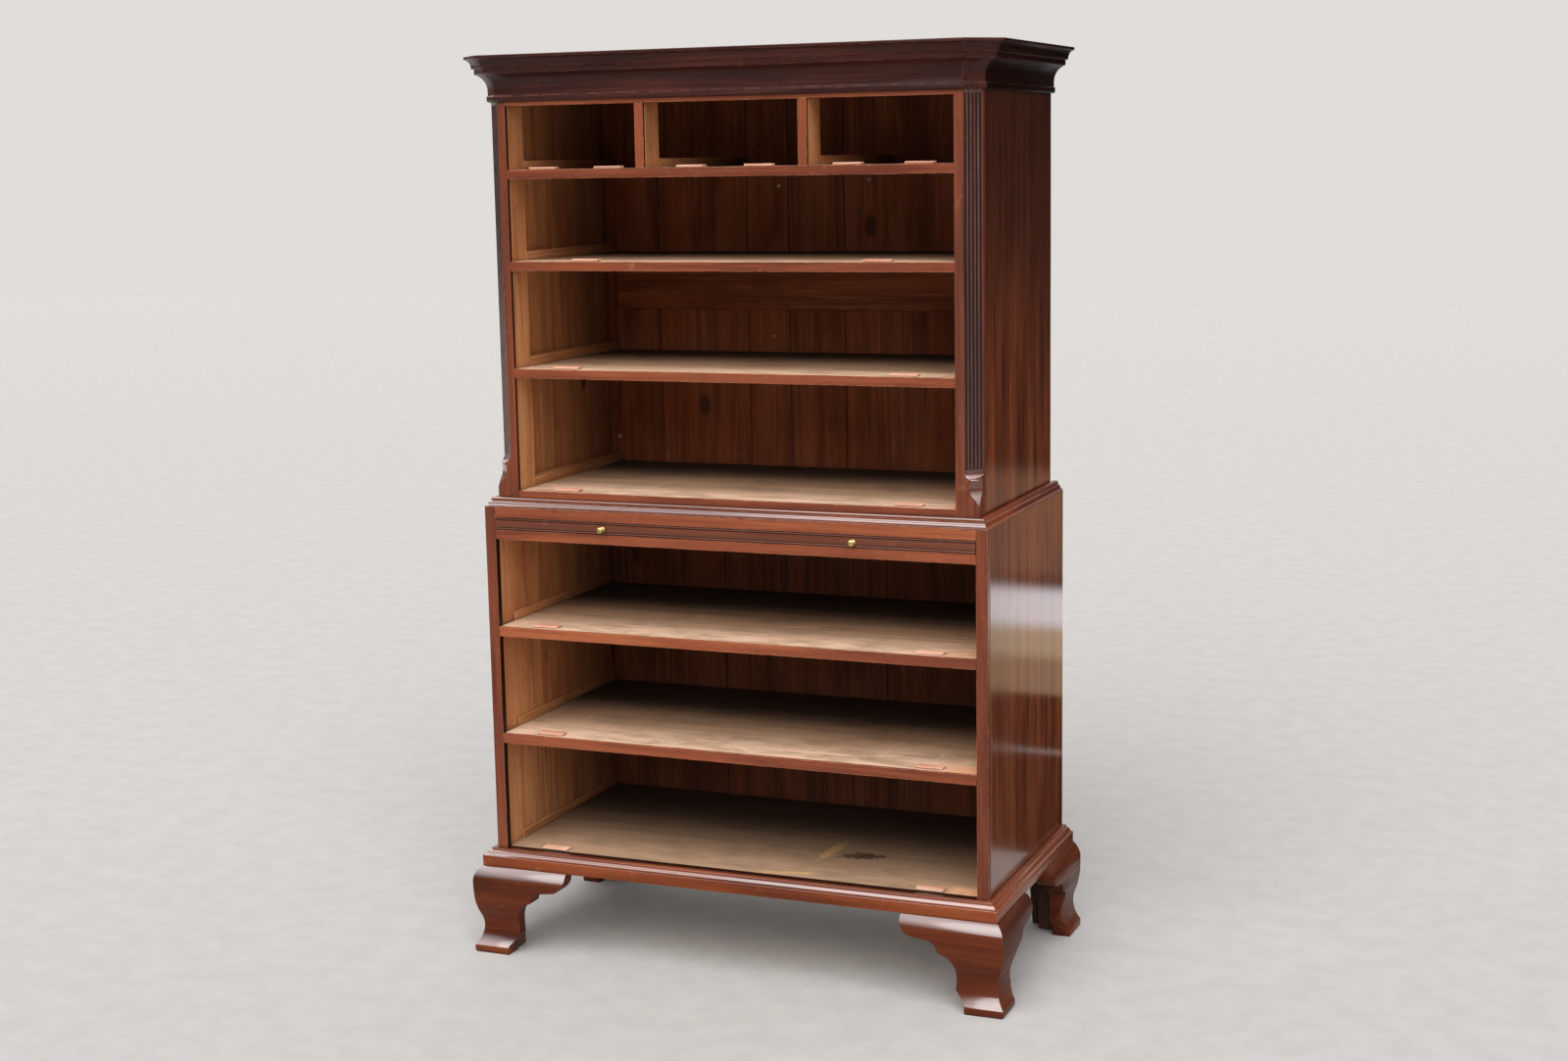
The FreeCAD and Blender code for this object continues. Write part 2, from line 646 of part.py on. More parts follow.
def build_slide():
    """The brushing slide: a cleated board with a beaded front edge and two knobs."""
    front = "(%s - slide_proud)" % FRONT
    half = "slide_wide / 2"
    behind = "(%s + slide_edge)" % front
    node(block("slide_front_edge", ("-%s" % half, half), (front, behind), ("slide_low", "slide_high")),
         "slide_front_edge")
    top = ("slide_high - 1 - slide_board", "slide_high - 1")
    node(block("slide_board", ("slide_cleat - %s" % half, "%s - slide_cleat" % half),
               (behind, "%s + slide_deep" % behind), top), "slide_panel")
    group("slide_cleats", both_sides("slide_cleat_end", ("%s - slide_cleat" % half, half),
          (behind, "%s + slide_deep" % behind), top))
    knobs = []
    for side in (-1, 1):
        name = "knob_left" if side < 0 else "knob_right"
        points = [
            ("0", "0"), ("knob_ball * 0.75", "0"), ("knob_ball * 0.75", "1"), ("knob_stem", "2.2"),
            ("knob_stem", "knob_out - knob_ball * 1.2"), ("knob_ball", "knob_out - knob_ball * 0.62"),
            ("knob_ball * 0.8", "knob_out - knob_ball * 0.14", "knob_ball * 0.75"),
            ("knob_ball * 0.5", "knob_out"),
            ("0", "knob_out"),
        ]
        body = doc.addObject("PartDesign::Body", name)
        sketch = outline(body, name + "_half", "XZ_Plane", points)
        turned = body.newObject("PartDesign::Revolution", name + "_turned")
        turned.Profile = sketch
        turned.ReferenceAxis = (sketch, ["V_Axis"])
        turned.Angle = 360
        doc.recompute()
        body.Placement = FreeCAD.Placement(V(0, 0, 0), FreeCAD.Rotation(V(1, 0, 0), 90))
        body.setExpression("Placement.Base.x", bound("%d * knob_at" % side))
        body.setExpression("Placement.Base.y", bound(front))
        body.setExpression("Placement.Base.z", bound("(slide_low + slide_high) / 2 - 2"))
        knobs.append(body)
    group("slide_knobs", knobs)


def build_screws():
    """Round screw heads that hold the back boards, seen from inside."""
    spots = [("seam_d + 58", "upper_rail_a - 34"), ("seam_c - 21", "upper_rail_b + 139"),
             ("seam_c - 36", "upper_rail_c + 33"), ("-%s + 24" % UPPER_IN, "upper_floor_top + 54")]
    screws = []
    for index, (x, z) in enumerate(spots, start=1):
        head = doc.addObject("Part::Cylinder", "screw_%d" % index)
        head.setExpression("Radius", bound("screw_radius"))
        head.setExpression("Height", bound("screw_proud"))
        head.Placement = FreeCAD.Placement(V(0, 0, 0), FreeCAD.Rotation(V(1, 0, 0), 90))
        head.setExpression("Placement.Base.x", bound(x))
        head.setExpression("Placement.Base.y", bound("%s - back_thick" % UPPER_BACK))
        head.setExpression("Placement.Base.z", bound(z))
        screws.append(head)
    group("back_screws", screws)


def write_parts():
    """Check every object, then write each sub-part to its own file."""
    doc.removeObject("probe")
    doc.recompute()
    for obj in doc.Objects:
        if "Invalid" in obj.State or "Error" in obj.State:
            raise RuntimeError("%s failed: %s" % (obj.Label, obj.State))
    for obj in made:
        if obj.Shape.isNull() or not obj.Shape.isValid():
            raise RuntimeError("%s has no valid shape" % obj.Label)
    os.makedirs("parts", exist_ok=True)
    for obj in made:
        obj.Shape.exportStep("parts/%s.step" % obj.Label)
    print("%d sub-parts" % len(made))


build_lower()
build_base()
build_waist()
build_slide()
build_upper()
build_cornice()
build_screws()
write_parts()
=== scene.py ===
import math

import bpy
from mathutils import Matrix, Vector


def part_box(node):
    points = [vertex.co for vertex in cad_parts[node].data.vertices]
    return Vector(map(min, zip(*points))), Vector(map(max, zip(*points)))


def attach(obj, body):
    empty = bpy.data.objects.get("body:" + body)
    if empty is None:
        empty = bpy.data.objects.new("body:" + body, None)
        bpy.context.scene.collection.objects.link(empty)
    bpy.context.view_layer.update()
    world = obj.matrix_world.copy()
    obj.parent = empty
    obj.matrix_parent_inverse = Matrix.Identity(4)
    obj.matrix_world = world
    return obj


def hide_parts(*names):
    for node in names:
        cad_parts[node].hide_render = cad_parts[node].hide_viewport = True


# A Georgian chest on chest with its drawers out: mahogany fronts and sides over pine linings,
# a fluted and canted upper chest that lifts off, and a brushing slide in the lower one.
# Metres, the front faces -Y and +Z is up.

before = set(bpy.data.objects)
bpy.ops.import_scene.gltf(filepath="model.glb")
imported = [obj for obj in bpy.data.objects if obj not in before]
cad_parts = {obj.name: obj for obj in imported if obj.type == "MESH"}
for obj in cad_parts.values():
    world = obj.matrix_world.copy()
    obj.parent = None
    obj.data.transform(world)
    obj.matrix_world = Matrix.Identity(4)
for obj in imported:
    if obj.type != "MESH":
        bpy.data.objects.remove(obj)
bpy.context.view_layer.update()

MM = 0.001
QUARTER = math.radians(90)
EIGHTH = math.radians(45)
UPPER_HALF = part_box("upper_side_right")[1].x
UPPER_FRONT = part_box("upper_top_rail")[0].y
CANT = 30 * MM
TONGUE_LEDGE = 1048 * MM
WELD = 1e-6
GOLDEN = 0.618
BOARD_STEP = 90 * MM
ARC_STEPS = 7
PAD_LONG, NECK = 80 * MM, 101 * MM
WASTE = 200 * MM
CAMERA_AT = (1.7996, -4.3256, 1.6691)
CAMERA_TURNS = (22.18, -9.42, -1.01)
CAMERA_LENS, CAMERA_SHIFT = 52.05, -0.0034


# ---------------------------------------------------------------- bench helpers

def only(piece=None):
    """Leave nothing selected but this piece."""
    bpy.ops.object.select_all(action="DESELECT")
    if piece is not None:
        piece.select_set(True)
        bpy.context.view_layer.objects.active = piece


def settle():
    """Put the selected piece's place into its mesh."""
    bpy.ops.object.transform_apply(location=True, rotation=True, scale=True)


def put(piece, spot, heading=0):
    """Turn and move a piece, and settle it there."""
    piece.rotation_euler.z = heading
    piece.location = spot
    only(piece)
    settle()


def placed(name, data):
    """A new object in the scene for this mesh, light or camera."""
    piece = bpy.data.objects.new(name, data)
    bpy.context.scene.collection.objects.link(piece)
    return piece


def begin_edit(piece, what="VERT"):
    only(piece)
    bpy.ops.object.mode_set(mode="EDIT")
    bpy.ops.mesh.select_mode(type=what)
    bpy.ops.mesh.select_all(action="DESELECT")


def end_edit():
    bpy.ops.object.mode_set(mode="OBJECT")


def choose_all():
    bpy.ops.mesh.select_all(action="SELECT")


def face_out():
    """Turn every face of the piece outwards."""
    choose_all()
    bpy.ops.mesh.normals_make_consistent(inside=False)


def pick_points(piece, test):
    """Select the points whose place passes the test, and the edges and faces between them."""
    end_edit()
    mesh = piece.data
    for point in mesh.vertices:
        point.select = test(point.co)
    for part in (*mesh.edges, *mesh.polygons):
        part.select = all(mesh.vertices[i].select for i in part.vertices)
    bpy.ops.object.mode_set(mode="EDIT")


def pick_edges(piece, test):
    """Select the edges whose two ends pass the test."""
    end_edit()
    mesh = piece.data
    for part in (*mesh.vertices, *mesh.polygons):
        part.select = False
    for edge in mesh.edges:
        ends = [mesh.vertices[i] for i in edge.vertices]
        edge.select = test(*(point.co for point in ends))
        if edge.select:
            for point in ends:
                point.select = True
    bpy.ops.object.mode_set(mode="EDIT")


def use_modifier(piece, kind, **settings):
    """Add a modifier, set it and apply it."""
    only(piece)
    added = piece.modifiers.new(kind.title(), kind)
    for key, value in settings.items():
        setattr(added, key, value)
    bpy.ops.object.modifier_apply(modifier=added.name)


def saw_off(piece, waste):
    use_modifier(piece, "BOOLEAN", operation="DIFFERENCE", object=waste, solver="EXACT")
    bpy.data.objects.remove(waste)


def mark(piece, name, values, domain="POINT"):
    """Store one number for each point or face, for the finish to read."""
    layer = piece.data.attributes.get(name) or piece.data.attributes.new(name, "FLOAT", domain)
    layer.data.foreach_set("value", values)


def ease_edges(piece, width, angle=40, segments=2):
    """Take the arrises off, and note the new narrow faces as worn."""
    only(piece)
    piece.data.materials.clear()
    piece.data.materials.append(None)
    piece.data.materials.append(None)
    use_modifier(piece, "BEVEL", width=width, segments=segments, limit_method="ANGLE",
                 angle_limit=math.radians(angle), material=1, loop_slide=True)
    worn = [float(face.material_index == 1) for face in piece.data.polygons]
    for face in piece.data.polygons:
        face.material_index = 0
    piece.data.materials.clear()
    mark(piece, "worn", worn, "FACE")


def smooth_over(piece, angle=35):
    only(piece)
    bpy.ops.object.shade_smooth_by_angle(angle=math.radians(angle))


def tint(piece, index):
    """Give a piece its own stretch of timber."""
    tone = (index * GOLDEN) % 1
    mark(piece, "tone", [tone] * len(piece.data.vertices))


def plane_off(piece, index, width):
    """Ease the edges so that only they round over and the wide faces stay flat."""
    ease_edges(piece, width)
    only(piece)
    bpy.ops.object.shade_smooth()
    use_modifier(piece, "WEIGHTED_NORMAL", mode="FACE_AREA", weight=90, keep_sharp=False)
    tint(piece, index)
    return piece


def soften(piece, index, width, angle, smooth, segments=2):
    """Ease the edges sharper than one angle and shade smooth over those below another."""
    ease_edges(piece, width, angle, segments)
    smooth_over(piece, smooth)
    tint(piece, index)
    return piece


def join_up(name, pieces):
    """Glue several boards into one piece."""
    only(pieces[0])
    for piece in pieces:
        piece.select_set(True)
    if len(pieces) > 1:
        bpy.ops.object.join()
    whole = bpy.context.view_layer.objects.active
    whole.name = name
    return whole


def merged_copy(node, name):
    """The CAD solid of a node as one clean mesh of its own."""
    piece = placed(name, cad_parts[node].data.copy())
    begin_edit(piece)
    choose_all()
    bpy.ops.mesh.remove_doubles(threshold=2e-6)
    bpy.ops.mesh.customdata_custom_splitnormals_clear()
    bpy.ops.mesh.dissolve_limited(angle_limit=math.radians(0.6))
    end_edit()
    return piece


def solids_of(node):
    """The lowest and highest corner of each separate board in a node, in a fixed order."""
    piece = merged_copy(node, "measured")
    begin_edit(piece)
    choose_all()
    bpy.ops.mesh.separate(type="LOOSE")
    end_edit()
    boxes = []
    for part in list(bpy.context.selected_objects):
        spots = [point.co for point in part.data.vertices]
        boxes.append(tuple(Vector([end(spot[i] for spot in spots) for i in range(3)])
                           for end in (min, max)))
        bpy.data.objects.remove(part)
    return sorted(boxes, key=lambda box: [round(v, 4) for v in (*box[0], *box[1])])


def board(name, low, high, index, ease=0.7 * MM, wander=0.2 * MM):
    """A board between two corners, planed by hand so that it runs a little uneven."""
    low, high = Vector(low), Vector(high)
    size = high - low
    slack = Vector((wander, wander, wander))
    only()
    bpy.ops.mesh.primitive_cube_add(size=1, location=(low + high) / 2, scale=size - 2 * slack)
    piece = bpy.context.object
    piece.name = name
    settle()
    along = max(range(3), key=lambda axis: size[axis])
    begin_edit(piece, "EDGE")
    pick_edges(piece, lambda a, b: abs(a[along] - b[along]) > size[along] * 0.9)
    bpy.ops.mesh.subdivide(number_cuts=max(2, round(size[along] / BOARD_STEP)))
    choose_all()
    bpy.ops.transform.vertex_random(offset=wander * 0.9, seed=index * 13 + 5)
    end_edit()
    return plane_off(piece, index, ease)


def draw_line(points):
    """A line of edges through these points, drawn one after the other; left in edit mode."""
    only()
    bpy.ops.mesh.primitive_plane_add(size=MM, location=points[0])
    piece = bpy.context.object
    settle()
    begin_edit(piece)
    choose_all()
    bpy.ops.mesh.merge(type="CENTER")
    for before, after in zip(points, points[1:]):
        step = Vector(after) - Vector(before)
        bpy.ops.mesh.extrude_vertices_move(TRANSFORM_OT_translate={"value": step})
    return piece


def cut_out(name, outline, depth):
    """A flat shape cut along an outline in X and Z, and given a thickness in Y."""
    points = [Vector((x, 0, z)) for x, z in outline]
    piece = draw_line(points)
    choose_all()
    bpy.ops.mesh.edge_face_add()
    bpy.ops.mesh.extrude_region_move(TRANSFORM_OT_translate={"value": (0, depth, 0)})
    face_out()
    end_edit()
    piece.name = name
    return piece


# ---------------------------------------------------------------- mouldings

def bend(start, end, radius):
    """Points on the arc from start to end; it runs clockwise where the radius is below zero."""
    start, end = Vector(start), Vector(end)
    chord = end - start
    half = chord.length / 2
    across = Vector((-chord.y, chord.x)).normalized()
    lift = math.sqrt(max(radius * radius - half * half, 0))
    centre = (start + end) / 2 + across * math.copysign(lift, radius)
    first, last = start - centre, end - centre
    reach = first.length
    turned = math.atan2(last.y, last.x) - math.atan2(first.y, first.x)
    turned = turned % (2 * math.pi) if radius > 0 else -(-turned % (2 * math.pi))
    points = []
    for step in range(1, ARC_STEPS + 1):
        angle = math.atan2(first.y, first.x) + turned * step / ARC_STEPS
        points.append(centre + Vector((math.cos(angle), math.sin(angle))) * reach)
    return points


def traced(section):
    """A section's points with its arcs walked along."""
    line = [Vector(section[0][:2])]
    for before, point in zip(section, section[1:]):
        if len(point) == 2:
            line.append(Vector(point))
        else:
            line += bend(before[:2], point[:2], point[2])
    return line


def moulding(name, section, start, heading, length, near_turn, far_turn, index, ease=0.45 * MM):
    """A run of moulding: its section is drawn along a strip, then its ends are mitred.

    heading is the way it runs, and its face looks to the right of that.
    """
    line = traced(section)
    spare = 1.2 * max(abs(point.x) for point in line)
    only()
    first = line[1]
    bpy.ops.mesh.primitive_plane_add(size=1, location=(length / 2, first.x / 2, 0))
    piece = bpy.context.object
    piece.name = name
    piece.scale = (length + 2 * spare, abs(first.x), 1)
    settle()
    begin_edit(piece, "EDGE")
    pick_edges(piece, lambda a, b: max(abs(a.y - first.x), abs(b.y - first.x)) < WELD)
    for before, after in zip(line[1:], line[2:] + [line[0]]):
        step = after - before
        bpy.ops.mesh.extrude_edges_move(TRANSFORM_OT_translate={"value": (0, step.x, step.y)})
    choose_all()
    bpy.ops.mesh.remove_doubles(threshold=WELD)
    for at, way, turn in ((0, -1, near_turn), (length, 1, far_turn)):
        choose_all()
        normal = (way * math.cos(turn / 2), math.sin(turn / 2), 0)
        bpy.ops.mesh.bisect(plane_co=(at, 0, 0), plane_no=normal, use_fill=True, clear_outer=True)
    face_out()
    end_edit()
    put(piece, start, heading)
    return soften(piece, index, ease, 34, 40) if ease else piece


def cornice_section(out, tall):
    return [(0, 0), (-2 * MM, 0), (-8.5 * MM, 6 * MM, -5 * MM), (-8.5 * MM, 11 * MM),
            (-6 * MM, 13 * MM), (-6 * MM, 22 * MM), (-0.62 * out, 0.615 * tall, 34 * MM),
            (-0.62 * out, 0.72 * tall), (-0.73 * out, 0.74 * tall),
            (-0.86 * out, 0.91 * tall, 20 * MM), (-out, tall - 5 * MM), (-out, tall), (0, tall)]


def waist_section(out, tall):
    return [(0, 0), (-out, 0), (-out, 2 * MM), (-0.72 * out, 7 * MM, 7 * MM),
            (-0.58 * out, 11.5 * MM, -6 * MM), (-0.5 * out, 12.5 * MM), (-0.5 * out, 14 * MM),
            (-0.4 * out, tall - 0.6 * MM, -4.5 * MM), (0, tall)]


def base_section(out, tall):
    return [(0, 0), (-out, 0), (-out, 0.62 * tall), (-0.92 * out, 0.64 * tall),
            (-0.68 * out, 0.76 * tall, 7 * MM), (-0.5 * out, 0.87 * tall, -6 * MM),
            (-0.38 * out, 0.89 * tall), (-0.38 * out, tall), (0, tall)]


def foot_section(out, tall):
    """The ogee of a foot, from its flared toe up to the shoulder."""
    return [(0, 0), (-0.94 * out, 0), (-out, 0.03 * tall), (-out, 0.085 * tall),
            (-0.61 * out, 0.3 * tall, 59 * MM), (-0.72 * out, 0.43 * tall, 59 * MM),
            (-0.97 * out, 0.66 * tall, -140 * MM), (-out, 0.83 * tall, -500 * MM),
            (-0.62 * out, tall, -41.5 * MM), (0, tall)]


def slide_section(deep, tall):
    """The slide's front edge: a flat between two cock beads, each with a quirk beside it."""
    bead, quirk = 3.2 * MM, 1.1 * MM
    face = -deep + 1.2 * MM
    inner = bead + quirk
    return [(0, 0), (face, 0), (-deep, bead / 2, -1.8 * MM), (face, bead, -1.8 * MM),
            (face + 1.2 * MM, bead + 0.2 * MM), (face + 1.2 * MM, inner), (face, inner + 0.1 * MM),
            (face, tall - inner - 0.1 * MM), (face + 1.2 * MM, tall - inner),
            (face + 1.2 * MM, tall - bead - 0.2 * MM), (face, tall - bead),
            (-deep, tall - bead / 2, -1.8 * MM), (face, tall, -1.8 * MM), (0, tall)]


# ---------------------------------------------------------------- finishes

def colour(chip, share=1.0):
    """A paint chip's red, green and blue, 0 to 255, as the shader's own light values."""
    parts = []
    for part in chip:
        part = part * share / 255
        parts.append(part / 12.92 if part <= 0.04045 else ((part + 0.055) / 1.055) ** 2.4)
    return (*parts, 1)


class Finish:
    """A new material, or a new world, and short ways to add its nodes."""

    def __init__(self, name, shelf=bpy.data.materials):
        self.made = shelf.new(name)
        self.made.use_nodes = True
        self.tree = self.made.node_tree
        self.shader = self.tree.nodes.get("Principled BSDF")

    def add(self, kind, inputs=None, **settings):
        made = self.tree.nodes.new("ShaderNode" + kind)
        for key, value in settings.items():
            setattr(made, key, value)
        for key, value in (inputs or {}).items():
            self.plug(value, made.inputs[key])
        return made

    def plug(self, value, socket):
        """Link a node's output to a socket, or set the socket to a plain value."""
        if isinstance(value, bpy.types.NodeSocket):
            self.tree.links.new(value, socket)
        else:
            socket.default_value = value

    def places(self):
        return self.add("TexCoord").outputs["Object"]

    def marked(self, name):
        """What mark() stored on the piece under this name."""
        return self.add("Attribute", attribute_name=name).outputs["Fac"]

    def maths(self, kind, first, second, clamp=False):
        return self.add("Math", {0: first, 1: second}, operation=kind, use_clamp=clamp).outputs[0]

    def times(self, first, second):
        return self.maths("MULTIPLY", first, second)

    def plus(self, first, second, clamp=False):
        return self.maths("ADD", first, second, clamp)

    def lengthways(self, grain, stretch):
        """Object places squeezed along the grain, and shifted for each board."""
        shift = self.times(self.marked("tone"), 3.7)
        moved = self.add("VectorMath", {0: self.places(), 1: shift}, operation="ADD").outputs[0]
        scale = [1.0, 1.0, 1.0]
        scale["xyz".index(grain)] = stretch
        return self.add("Mapping", {"Vector": moved, "Scale": scale}).outputs[0]

    def noise(self, vector, scale, detail=4.0, rough=0.55, twist=0.0):
        inputs = {"Vector": vector, "Scale": scale, "Detail": detail, "Roughness": rough,
                  "Distortion": twist}
        return self.add("TexNoise", inputs).outputs["Fac"]

    def spread(self, value, low, high, first=0.0, last=1.0):
        inputs = {"Value": value, "From Min": low, "From Max": high, "To Min": first,
                  "To Max": last}
        return self.add("MapRange", inputs, interpolation_type="SMOOTHSTEP").outputs["Result"]

    def mix(self, amount, first, second):
        made = self.add("Mix", data_type="RGBA")
        for place, value in ((0, amount), (6, first), (7, second)):
            self.plug(value, made.inputs[place])
        return made.outputs[2]

    def stain(self, amount, wood, chip, share=1.0):
        """Wash a chip's colour over the wood, by an amount that may differ from place to place."""
        return self.mix(amount, wood, colour(chip, share))

    def grime_and_shade(self, reach):
        """How shut in a place is, from 0 in the open to 1 in a tight corner; the finishes use it
        to paint shade, with some dirt, into corners and hollows.
        """
        made = self.add("AmbientOcclusion", {"Distance": reach}, samples=4, only_local=False)
        return self.maths("SUBTRACT", 1.0, made.outputs["AO"], clamp=True)

    def done(self, base, rough, bump=None, strength=0.2, depth=0.3 * MM, **fixed):
        self.plug(base, self.shader.inputs["Base Color"])
        self.plug(rough, self.shader.inputs["Roughness"])
        if bump is not None:
            raised = self.add("Bump", {"Height": bump, "Strength": strength, "Distance": depth})
            self.plug(raised.outputs[0], self.shader.inputs["Normal"])
        for key, value in fixed.items():
            self.shader.inputs[key.replace("_", " ")].default_value = value
        return self.made


def mahogany(name, grain, tones, gloss=0.36, streak=0.5, coat=0.1, reach=10 * MM, soot_and_shade=0.8,
             painted_side_shade=0.0, shine=0.28, bands=0.0, pored=0.35, relief=0.1, wear=0.75):
    """Polished mahogany: ribbon figure, fine streaks, pores, worn arrises, and painted shade with
    some old polish in its corners.

    One setting paints shade on a side, darker towards its top and its foot, and bands gives it
    upright stripes.
    """
    deep, body, bright, worn = tones
    f = Finish("mahogany_" + name)
    ribbon = f.noise(f.lengthways(grain, 0.1), 17.0, 3.0, 0.5, 0.5)
    streaks = f.noise(f.lengthways(grain, 0.03), 150.0, 5.0, 0.6)
    pores = f.spread(f.noise(f.lengthways(grain, 0.06), 700.0, 2.0, 0.5), 0.58, 0.7)
    cloud = f.noise(f.lengthways(grain, 0.5), 5.0, 3.0, 0.5)
    figure = f.plus(f.times(ribbon, 1 - streak), f.times(streaks, streak))
    wood = f.mix(f.spread(figure, 0.32, 0.54), colour(deep), colour(body))
    wood = f.stain(f.spread(figure, 0.5, 0.68), wood, bright)
    wood = f.stain(f.spread(cloud, 0.4, 0.72, 0.0, 0.5), wood, deep)
    wood = f.stain(f.times(pores, pored), wood, deep, 0.5)
    if bands:
        stripe = f.noise(f.lengthways(grain, 0.06), 34.0, 4.0, 0.62, 0.4)
        wood = f.stain(f.spread(stripe, 0.36, 0.5, bands, 0.0), wood, deep, 0.7)
        wood = f.stain(f.spread(stripe, 0.52, 0.66, 0.0, bands), wood, bright)
    marks = f.spread(f.noise(f.places(), 34.0, 5.0, 0.7), 0.6, 0.75, 0.0, 0.4 * wear)
    wood = f.stain(marks, wood, worn)
    rubbed = f.times(f.marked("worn"), f.spread(f.noise(f.places(), 60.0, 3.0), 0.4, 0.6))
    wood = f.stain(f.times(rubbed, wear), wood, worn)
    # Painted shade: the side darkens towards its top and towards its foot.
    if painted_side_shade:
        height = f.add("SeparateXYZ", {0: f.places()}).outputs[2]
        uneven = f.plus(height, f.times(cloud, 0.5))
        wood = f.stain(f.spread(uneven, 1.35, 2.0, 0.0, painted_side_shade), wood, deep, 0.62)
        wood = f.stain(f.spread(uneven, 0.3, 0.75, painted_side_shade * 0.6, 0.0), wood, deep)
    # Painted shade: corners and hollows darken towards old polish, part dirt and part shade.
    dirt_and_shade = f.spread(f.grime_and_shade(reach), 0.25, 0.85, 0.0, soot_and_shade)
    wood = f.stain(dirt_and_shade, wood, POLISH_AND_SHADE)
    rough = f.plus(f.spread(cloud, 0.3, 0.7, gloss * 0.8, gloss * 1.2),
                   f.spread(streaks, 0.4, 0.65, 0.0, gloss * streak))
    rough = f.plus(rough, f.times(dirt_and_shade, 0.25), clamp=True)
    raised = f.maths("SUBTRACT", f.times(streaks, 0.5), f.times(pores, pored * 2))
    return f.done(wood, rough, raised, relief, 0.2 * MM, Coat_Weight=coat, Coat_Roughness=0.14,
                  Specular_IOR_Level=shine)


def knots(f, vector, scale, size, chance):
    """Dark knots here and there in pine, from 0 to 1."""
    cells = f.add("TexVoronoi", {"Vector": vector, "Scale": scale, "Randomness": 1.0})
    keep = f.spread(f.add("SeparateColor", {0: cells.outputs["Color"]}).outputs[0],
                    1 - chance, 1 - chance + 0.02)
    near = f.spread(cells.outputs["Distance"], size * 0.4, size, 1.0, 0.0)
    return f.times(near, keep)


def pine(name, grain, tones, knot_size=0.1, knot_chance=0.4, front=-0.16, back=0.36, dust=0.0,
         worn=0.35, age_and_shade=0.8, edge=None, reach=22 * MM):
    """Old pine: growth lines, knots and stains, darkened from front to back of the case, part by
    age and part by painted shade.
    """
    deep, body, pale, shade = tones
    f = Finish("pine_" + name)
    rings = f.noise(f.lengthways(grain, 0.05), 30.0, 3.0, 0.55, 0.8)
    lines = f.noise(f.lengthways(grain, 0.02), 230.0, 4.0, 0.6)
    cloud = f.noise(f.lengthways(grain, 0.45), 8.0, 5.0, 0.62)
    blot = f.noise(f.lengthways(grain, 0.6), 19.0, 4.0, 0.65)
    speck = f.spread(f.noise(f.lengthways(grain, 0.3), 260.0, 2.0), 0.66, 0.74)
    wood = f.mix(f.spread(rings, 0.34, 0.6), colour(deep), colour(body))
    wood = f.stain(f.spread(lines, 0.45, 0.7, 0.0, 0.5), wood, pale)
    wood = f.stain(f.spread(cloud, 0.44, 0.7, 0.0, 0.75), wood, deep)
    wood = f.stain(f.spread(blot, 0.6, 0.78, 0.0, 0.6), wood, deep, 0.55)
    wood = f.stain(f.times(speck, 0.35), wood, deep, 0.5)
    spots = knots(f, f.lengthways(grain, 0.55), 7.0, knot_size, knot_chance)
    if dust:
        wood = dusty(f, wood, pale, dust)
    # Painted shade: darker towards the back of the case, with some browning by age.
    inward = f.spread(f.add("SeparateXYZ", {0: f.places()}).outputs[1], front, back)
    wood = f.stain(f.times(inward, age_and_shade), wood, shade)
    wood = f.stain(f.times(spots, 0.75), wood, KNOT)
    # Eased edges show pale wear; where an edge chip is given, as on the back boards, they are
    # painted dark as shadow in the gaps between boards.
    wood = f.stain(f.times(f.marked("worn"), worn), wood, edge or pale)
    # Painted shade: corners, and the back boards near the bearers, darken towards old dirt, part
    # dirt and part shade.
    wood = f.stain(f.spread(f.grime_and_shade(reach), 0.3, 1.0, 0.0, 0.7), wood, DIRT_AND_SHADE)
    raised = f.maths("SUBTRACT", lines, f.times(speck, 0.4))
    return f.done(wood, f.spread(cloud, 0.3, 0.7, 0.62, 0.77), raised, 0.2, 0.3 * MM,
                  Specular_IOR_Level=0.3)


def dusty(f, wood, pale, dust):
    """Grey dust on a bearer, rubbed pale along the front where the drawers ran, and scratched."""
    x, y = f.add("SeparateXYZ", {0: f.places()}).outputs[:2]
    patchy = f.noise(f.lengthways("x", 0.4), 26.0, 5.0, 0.68)
    settled = f.spread(f.noise(f.places(), 7.0, 5.0, 0.6), 0.3, 0.7, dust * 0.6, dust)
    wood = f.stain(settled, wood, (168, 140, 112))
    soiled = f.noise(f.lengthways("x", 0.5), 9.0, 6.0, 0.66)
    wood = f.stain(f.spread(soiled, 0.48, 0.68, 0.0, 0.42), wood, (104, 76, 56))
    rubbed = f.spread(y, -0.215, -0.06, 1.0, 0.0)
    wood = f.stain(f.times(rubbed, f.spread(patchy, 0.34, 0.62, 0.1, 0.85)), wood, pale)
    runs = f.noise(f.lengthways("y", 0.02), 90.0, 3.0, 0.6)
    wood = f.stain(f.spread(runs, 0.64, 0.72, 0.0, 0.25), wood, pale)
    across = f.noise(f.lengthways("x", 0.012), 210.0, 3.0, 0.6)
    wood = f.stain(f.spread(across, 0.6, 0.7, 0.0, 0.3), wood, (96, 70, 50))
    for scrape in SCRAPES:
        wood = scraped(f, wood, *scrape)
    chipped = f.times(f.spread(x, 0.44, 0.468), f.spread(y, -0.205, -0.18, 1.0, 0.0))
    chipped = f.times(chipped, f.spread(patchy, 0.4, 0.52, 0.25, 1.0))
    return f.stain(chipped, wood, (240, 182, 138))


